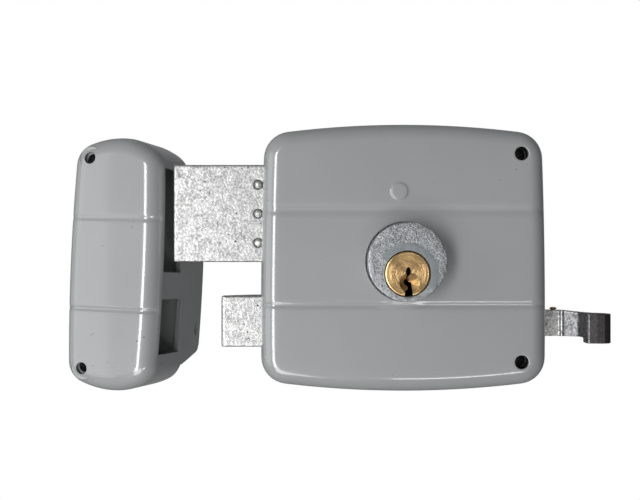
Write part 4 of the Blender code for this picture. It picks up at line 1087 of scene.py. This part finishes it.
def run_tree(name, tree, points, lengths, values, material, body, slot, nodes):
    """Run a tree on loose points and keep what it makes as one plain mesh."""
    mesh = bpy.data.meshes.new(name)
    mesh.from_pydata([tuple(p) for p in points], [], [])
    own = mesh.attributes.new("length", "FLOAT", "POINT")
    for k, value in enumerate(lengths):
        own.data[k].value = value
    piece = bpy.data.objects.new(name, mesh)
    bpy.context.collection.objects.link(piece)
    modifier = piece.modifiers.new("made", "NODES")
    modifier.node_group = tree
    sockets = {item.name: item.identifier for item in tree.interface.items_tree if item.in_out == "INPUT"}
    for label, value in {**values, "Material": material}.items():
        modifier[sockets[label]] = value
    bake_modifiers(piece, 40)
    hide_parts(*nodes)
    return finish(piece, material, body, slot)


def spring_tree():
    tree, start, end = geometry_tree("wound_spring", (
        ("Coil Radius", "Float", 0.75 * MM), ("Wire Radius", "Float", 0.18 * MM), ("Turns", "Float", 6.0),
        ("Turn", "Vector", (0, 0, 0)), ("Height", "Float", 4 * MM), ("Material", "Material", None)))
    source = start.outputs
    spiral = step(tree, "GeometryNodeCurveSpiral", (
        ("Rotations", source["Turns"]), ("Start Radius", source["Coil Radius"]),
        ("End Radius", source["Coil Radius"]), ("Height", source["Height"])), Resolution=24)
    along = step(tree, "GeometryNodeSplineParameter")
    eased = step(tree, "ShaderNodeMapRange",
                 (("Value", along.outputs["Factor"]), ("To Max", source["Height"])),
                 interpolation_type="SMOOTHSTEP")
    place = step(tree, "GeometryNodeInputPosition")
    split = step(tree, "ShaderNodeSeparateXYZ", (("Vector", place.outputs[0]),))
    joined = step(tree, "ShaderNodeCombineXYZ", (
        ("X", split.outputs["X"]), ("Y", split.outputs["Y"]), ("Z", eased.outputs["Result"])))
    closed = step(tree, "GeometryNodeSetPosition", (
        ("Geometry", spiral.outputs["Curve"]), ("Position", joined.outputs[0])))
    wire = step(tree, "GeometryNodeCurvePrimitiveCircle", (("Radius", source["Wire Radius"]),),
                Resolution=10)
    swept = step(tree, "GeometryNodeCurveToMesh", (
        ("Curve", closed.outputs[0]), ("Profile Curve", wire.outputs["Curve"])), Fill_Caps=True)
    placed = step(tree, "GeometryNodeInstanceOnPoints", (
        ("Points", source["Geometry"]), ("Instance", swept.outputs[0]), ("Rotation", source["Turn"])))
    finish_tree(tree, placed.outputs[0], source["Material"], end)
    return tree


def finish_tree(tree, geometry, material, end):
    real = step(tree, "GeometryNodeRealizeInstances", (("Geometry", geometry),))
    coloured = step(tree, "GeometryNodeSetMaterial", (("Geometry", real.outputs[0]), ("Material", material)))
    tree.links.new(coloured.outputs[0], end.inputs[0])


def pin_tree():
    tree, start, end = geometry_tree("domed_pins", (
        ("Radius", "Float", 1 * MM), ("Dome", "Float", 0.15), ("Turn", "Vector", (0, 0, 0)),
        ("Material", "Material", None)))
    source = start.outputs
    bar = step(tree, "GeometryNodeMeshCylinder", (("Radius", source["Radius"]),), Vertices=32, Depth=1.0,
               Side_Segments=1, Fill_Segments=5)
    place = step(tree, "GeometryNodeInputPosition")
    split = step(tree, "ShaderNodeSeparateXYZ", (("Vector", place.outputs[0]),))
    flat = step(tree, "ShaderNodeCombineXYZ", (("X", split.outputs["X"]), ("Y", split.outputs["Y"])))
    away = step(tree, "ShaderNodeVectorMath", (("Vector", flat.outputs[0]),), operation="LENGTH")
    share = maths(tree, "DIVIDE", away.outputs["Value"], source["Radius"])
    drop = maths(tree, "MULTIPLY", maths(tree, "POWER", share, 2.5), source["Dome"])
    signed = maths(tree, "MULTIPLY", drop, maths(tree, "SIGN", split.outputs["Z"]))
    offset = step(tree, "ShaderNodeCombineXYZ", (("Z", maths(tree, "MULTIPLY", signed, -1.0)),))
    domed = step(tree, "GeometryNodeSetPosition",
                 (("Geometry", bar.outputs["Mesh"]), ("Offset", offset.outputs[0])))
    own = step(tree, "GeometryNodeInputNamedAttribute", data_type="FLOAT", Name="length")
    size = step(tree, "ShaderNodeCombineXYZ", (("Z", own.outputs["Attribute"]),), X=1.0, Y=1.0)
    placed = step(tree, "GeometryNodeInstanceOnPoints", (
        ("Points", source["Geometry"]), ("Instance", domed.outputs[0]), ("Rotation", source["Turn"]),
        ("Scale", size.outputs[0])))
    finish_tree(tree, placed.outputs[0], source["Material"], end)
    return tree


SPRING_TREE, PIN_TREE = spring_tree(), pin_tree()
SIDEWAYS = (math.radians(90), 0, 0)


# %% Springs and pins
def row(prefix, count=5, names=None):
    """The frame nodes of a row, their middles and their sizes."""
    nodes = names or [f"{prefix}_{k}" for k in range(1, count + 1)]
    boxes = [tuple(Vector(v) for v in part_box(node)) for node in nodes]
    return nodes, [(low + high) / 2 for low, high in boxes], [high - low for low, high in boxes]


nodes, middles, sizes = row("pin_spring")
wire = 0.17 * MM
feet = [(m.x, m.y, m.z - s.z / 2 + wire) for m, s in zip(middles, sizes)]
run_tree("pin_springs", SPRING_TREE, feet, [1] * 5,
         {"Coil Radius": sizes[0].x / 2 - wire, "Wire Radius": wire, "Turns": 7.0,
          "Height": sizes[0].z - 2 * wire},
         SPRING_STEEL, "case", "spring_steel", nodes)
low, high = (Vector(v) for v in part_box("latch_spring"))
wire = 0.45 * MM
run_tree("latch_spring_wound", SPRING_TREE, [(low.x + wire, (low.y + high.y) / 2, (low.z + high.z) / 2)],
         [1],
         {"Coil Radius": 2.9 * MM, "Wire Radius": wire, "Turns": 8.0, "Height": high.x - low.x - 2 * wire,
          "Turn": (0, math.radians(90), 0)}, SPRING_STEEL, "case", "spring_steel", ["latch_spring"])
for prefix, name, body in (("key_pin", "key_pins", "plug"), ("driver_pin", "driver_pins", "case")):
    nodes, middles, sizes = row(prefix)
    run_tree(name, PIN_TREE, middles, [s.z for s in sizes], {"Radius": sizes[0].x / 2, "Dome": 0.14},
             BRASS, body, "brass", nodes)
nodes, middles, sizes = row("", names=[f"deadbolt_rivet_{end}" for end in ("upper", "middle", "lower")])
run_tree("deadbolt_rivets", PIN_TREE, middles, [s.y for s in sizes],
         {"Radius": 1.45 * MM, "Dome": 0.03, "Turn": SIDEWAYS}, BOLT_ZINC, "deadbolt", "zinc_plate", nodes)

# %% [markdown]
# ## Plates, posts and levers
# The rest of the works are plates, bars, posts and screws whose shape in the frame is already right. Their
# only fault is that their edges are perfectly sharp, which no sawn or stamped piece has. Each gets a copy
# with a narrow rounded edge, because that edge is what catches the light. Small hidden pieces keep the
# frame's own mesh and only take the right metal.

# %% Plates and levers
def dress(node, material, body, slot, width):
    return finish(softened(node, width, 2), material, body, slot)


for node, material, body, slot, width in (
        ("keeper_back_plate", ENAMEL, "keeper", "grey_enamel", 0.25),
        ("forend_plate", PLATED, "case", "zinc_plate", 0.3),
        ("back_plate", PLATED, "case", "zinc_plate", 0.25),
        ("latch_rod", PLATED, "latch", "zinc_plate", 0.2),
        ("deadbolt_tail", STEEL, "deadbolt", "steel", 0.12),
        ("detent_lever", STEEL, "detent", "steel", 0.12),
        ("latch_spring_bracket", STEEL, "case", "steel", 0.15),
        ("spring_cover_strip", PLATED, "case", "zinc_plate", 0.08),
        ("drive_pinion", STEEL, "plug", "steel", 0.08),
        ("pull_rivet", BRASS, "latch", "brass", 0.08)):
    dress(node, material, body, slot, width * MM)

# %% Finishes for the frame's own pieces
NODE_FINISH = {"steel": STEEL, "brass": BRASS, "spring_steel": SPRING_STEEL, "zinc_plate": PLATED,
               "zinc_casting": BOLT_ZINC, "grey_enamel": ENAMEL}
for part in frame["record"]["subparts"]:
    node = frame["nodes"][part["node"]]
    node.data.materials.clear()
    # The fixing sleeves behind the screw holes take the near-black steel, painted shade inside the holes.
    sleeve = part["node"].startswith("fixing_sleeve")
    node.data.materials.append(SLEEVE_SHADE_BLACK if sleeve else NODE_FINISH[part["material_slot"]])


# %% [markdown]
# ## Stage and lights
# The table is a pale sweep, a floor that curves up into a wall. For the camera both the sweep and the air
# behind it are plain white, as on a lit table, while everything else sees a dimmer room that is brighter on
# the left. Four lights do the rest. A tall window light from the left front draws the narrow bright lines
# on the rolled edges, a broad one far to the left gives the slow fall of tone across the face, and two low
# ones, right and left, light its lower part.

# %% Stage
def make_paper():
    material, tree, shader = new_material("pale_paper")
    tone = blend_colour(tree, noise_at(tree, 6.0, 2.0), (0.55, 0.55, 0.55), (0.60, 0.60, 0.60))
    tree.links.new(tone, shader.inputs["Base Color"])
    shader.inputs["Roughness"].default_value = 0.9
    seen = add(tree, "LightPath")
    glow = add(tree, "Emission", Strength=1.0)
    mixed = tree.nodes.new("ShaderNodeMixShader")
    tree.links.new(seen.outputs["Is Camera Ray"], mixed.inputs["Fac"])
    tree.links.new(shader.outputs[0], mixed.inputs[1])
    tree.links.new(glow.outputs[0], mixed.inputs[2])
    tree.links.new(mixed.outputs[0], tree.nodes["Material Output"].inputs["Surface"])
    return material


def build_stage():
    floor_z, wall_y, radius, half = -0.75, 1.4, 0.5, 2.5
    section = [(-2.5, floor_z)]
    for k in range(17):
        angle = math.pi / 2 * k / 16
        section.append((wall_y - radius + radius * math.sin(angle),
                        floor_z + radius * (1 - math.cos(angle))))
    section.append((wall_y, 1.5))
    bm = bmesh.new()
    rows = [[bm.verts.new((x, y, z)) for y, z in section] for x in (-half, half)]
    for k in range(len(section) - 1):
        bm.faces.new((rows[0][k], rows[1][k], rows[1][k + 1], rows[0][k + 1]))
    sweep = to_object("stage_sweep", bm, (make_paper(),), 60)
    return sweep


build_stage()


# %% Room light
def build_world():
    world = bpy.data.worlds.new("studio")
    world.use_nodes = True
    tree = world.node_tree
    room = tree.nodes["Background"]
    place = tree.nodes.new("ShaderNodeTexCoord")
    split = tree.nodes.new("ShaderNodeSeparateXYZ")
    tree.links.new(place.outputs["Generated"], split.inputs[0])
    fall = tree.nodes.new("ShaderNodeMapRange")
    for label, value in (("From Min", -1.0), ("From Max", 1.0), ("To Min", 0.44), ("To Max", 0.05)):
        fall.inputs[label].default_value = value
    tree.links.new(split.outputs["X"], fall.inputs["Value"])
    toward = add(tree, "VectorMath", operation="DOT_PRODUCT")
    tree.links.new(place.outputs["Generated"], toward.inputs[0])
    toward.inputs[1].default_value = Vector((-0.22, -0.80, -0.56)).normalized()
    lobe = maths(tree, "POWER", maths(tree, "MAXIMUM", toward.outputs["Value"], 0.0), 8.0)
    strength = maths(tree, "ADD", fall.outputs["Result"], maths(tree, "MULTIPLY", lobe, 0.95))
    tree.links.new(strength, room.inputs["Strength"])
    seen = tree.nodes.new("ShaderNodeLightPath")
    white = tree.nodes.new("ShaderNodeBackground")
    mixed = tree.nodes.new("ShaderNodeMixShader")
    tree.links.new(seen.outputs["Is Camera Ray"], mixed.inputs["Fac"])
    tree.links.new(room.outputs[0], mixed.inputs[1])
    tree.links.new(white.outputs[0], mixed.inputs[2])
    tree.links.new(mixed.outputs[0], tree.nodes["World Output"].inputs["Surface"])
    room.inputs["Color"].default_value = (0.97, 0.985, 1.0, 1)
    white.inputs["Color"].default_value = (1, 1, 1, 1)
    bpy.context.scene.world = world


build_world()


# %% Lights
def area_light(name, place, target, size, radiance, colour=(1, 1, 1)):
    """A soft rectangle of light that the camera itself doesn't see."""
    data = bpy.data.lights.new(name, "AREA")
    data.shape = "RECTANGLE"
    data.size, data.size_y = size
    data.energy = radiance * math.pi * size[0] * size[1]
    data.color = colour
    light = bpy.data.objects.new(name, data)
    light.location = place
    aim = Vector(target) - Vector(place)
    light.rotation_euler = aim.to_track_quat("-Z", "Y").to_euler()
    light.visible_camera = False
    bpy.context.collection.objects.link(light)
    return light


area_light("window", (-0.47, -0.93, -0.06), (-0.05, 0, 0), (0.24, 0.75), 8.8)
area_light("left_fill", (-0.46, -0.20, -0.03), (-0.02, -0.01, 0), (0.30, 0.45), 0.9)
area_light("low_right", (0.13, -0.62, -0.31), (0.03, -0.02, -0.02), (0.18, 0.08), 7.0)
area_light("low_left", (-0.14, -0.30, -0.22), (-0.03, 0, -0.02), (0.18, 0.14), 3.7)
bpy.context.scene.view_settings.view_transform = "Standard"
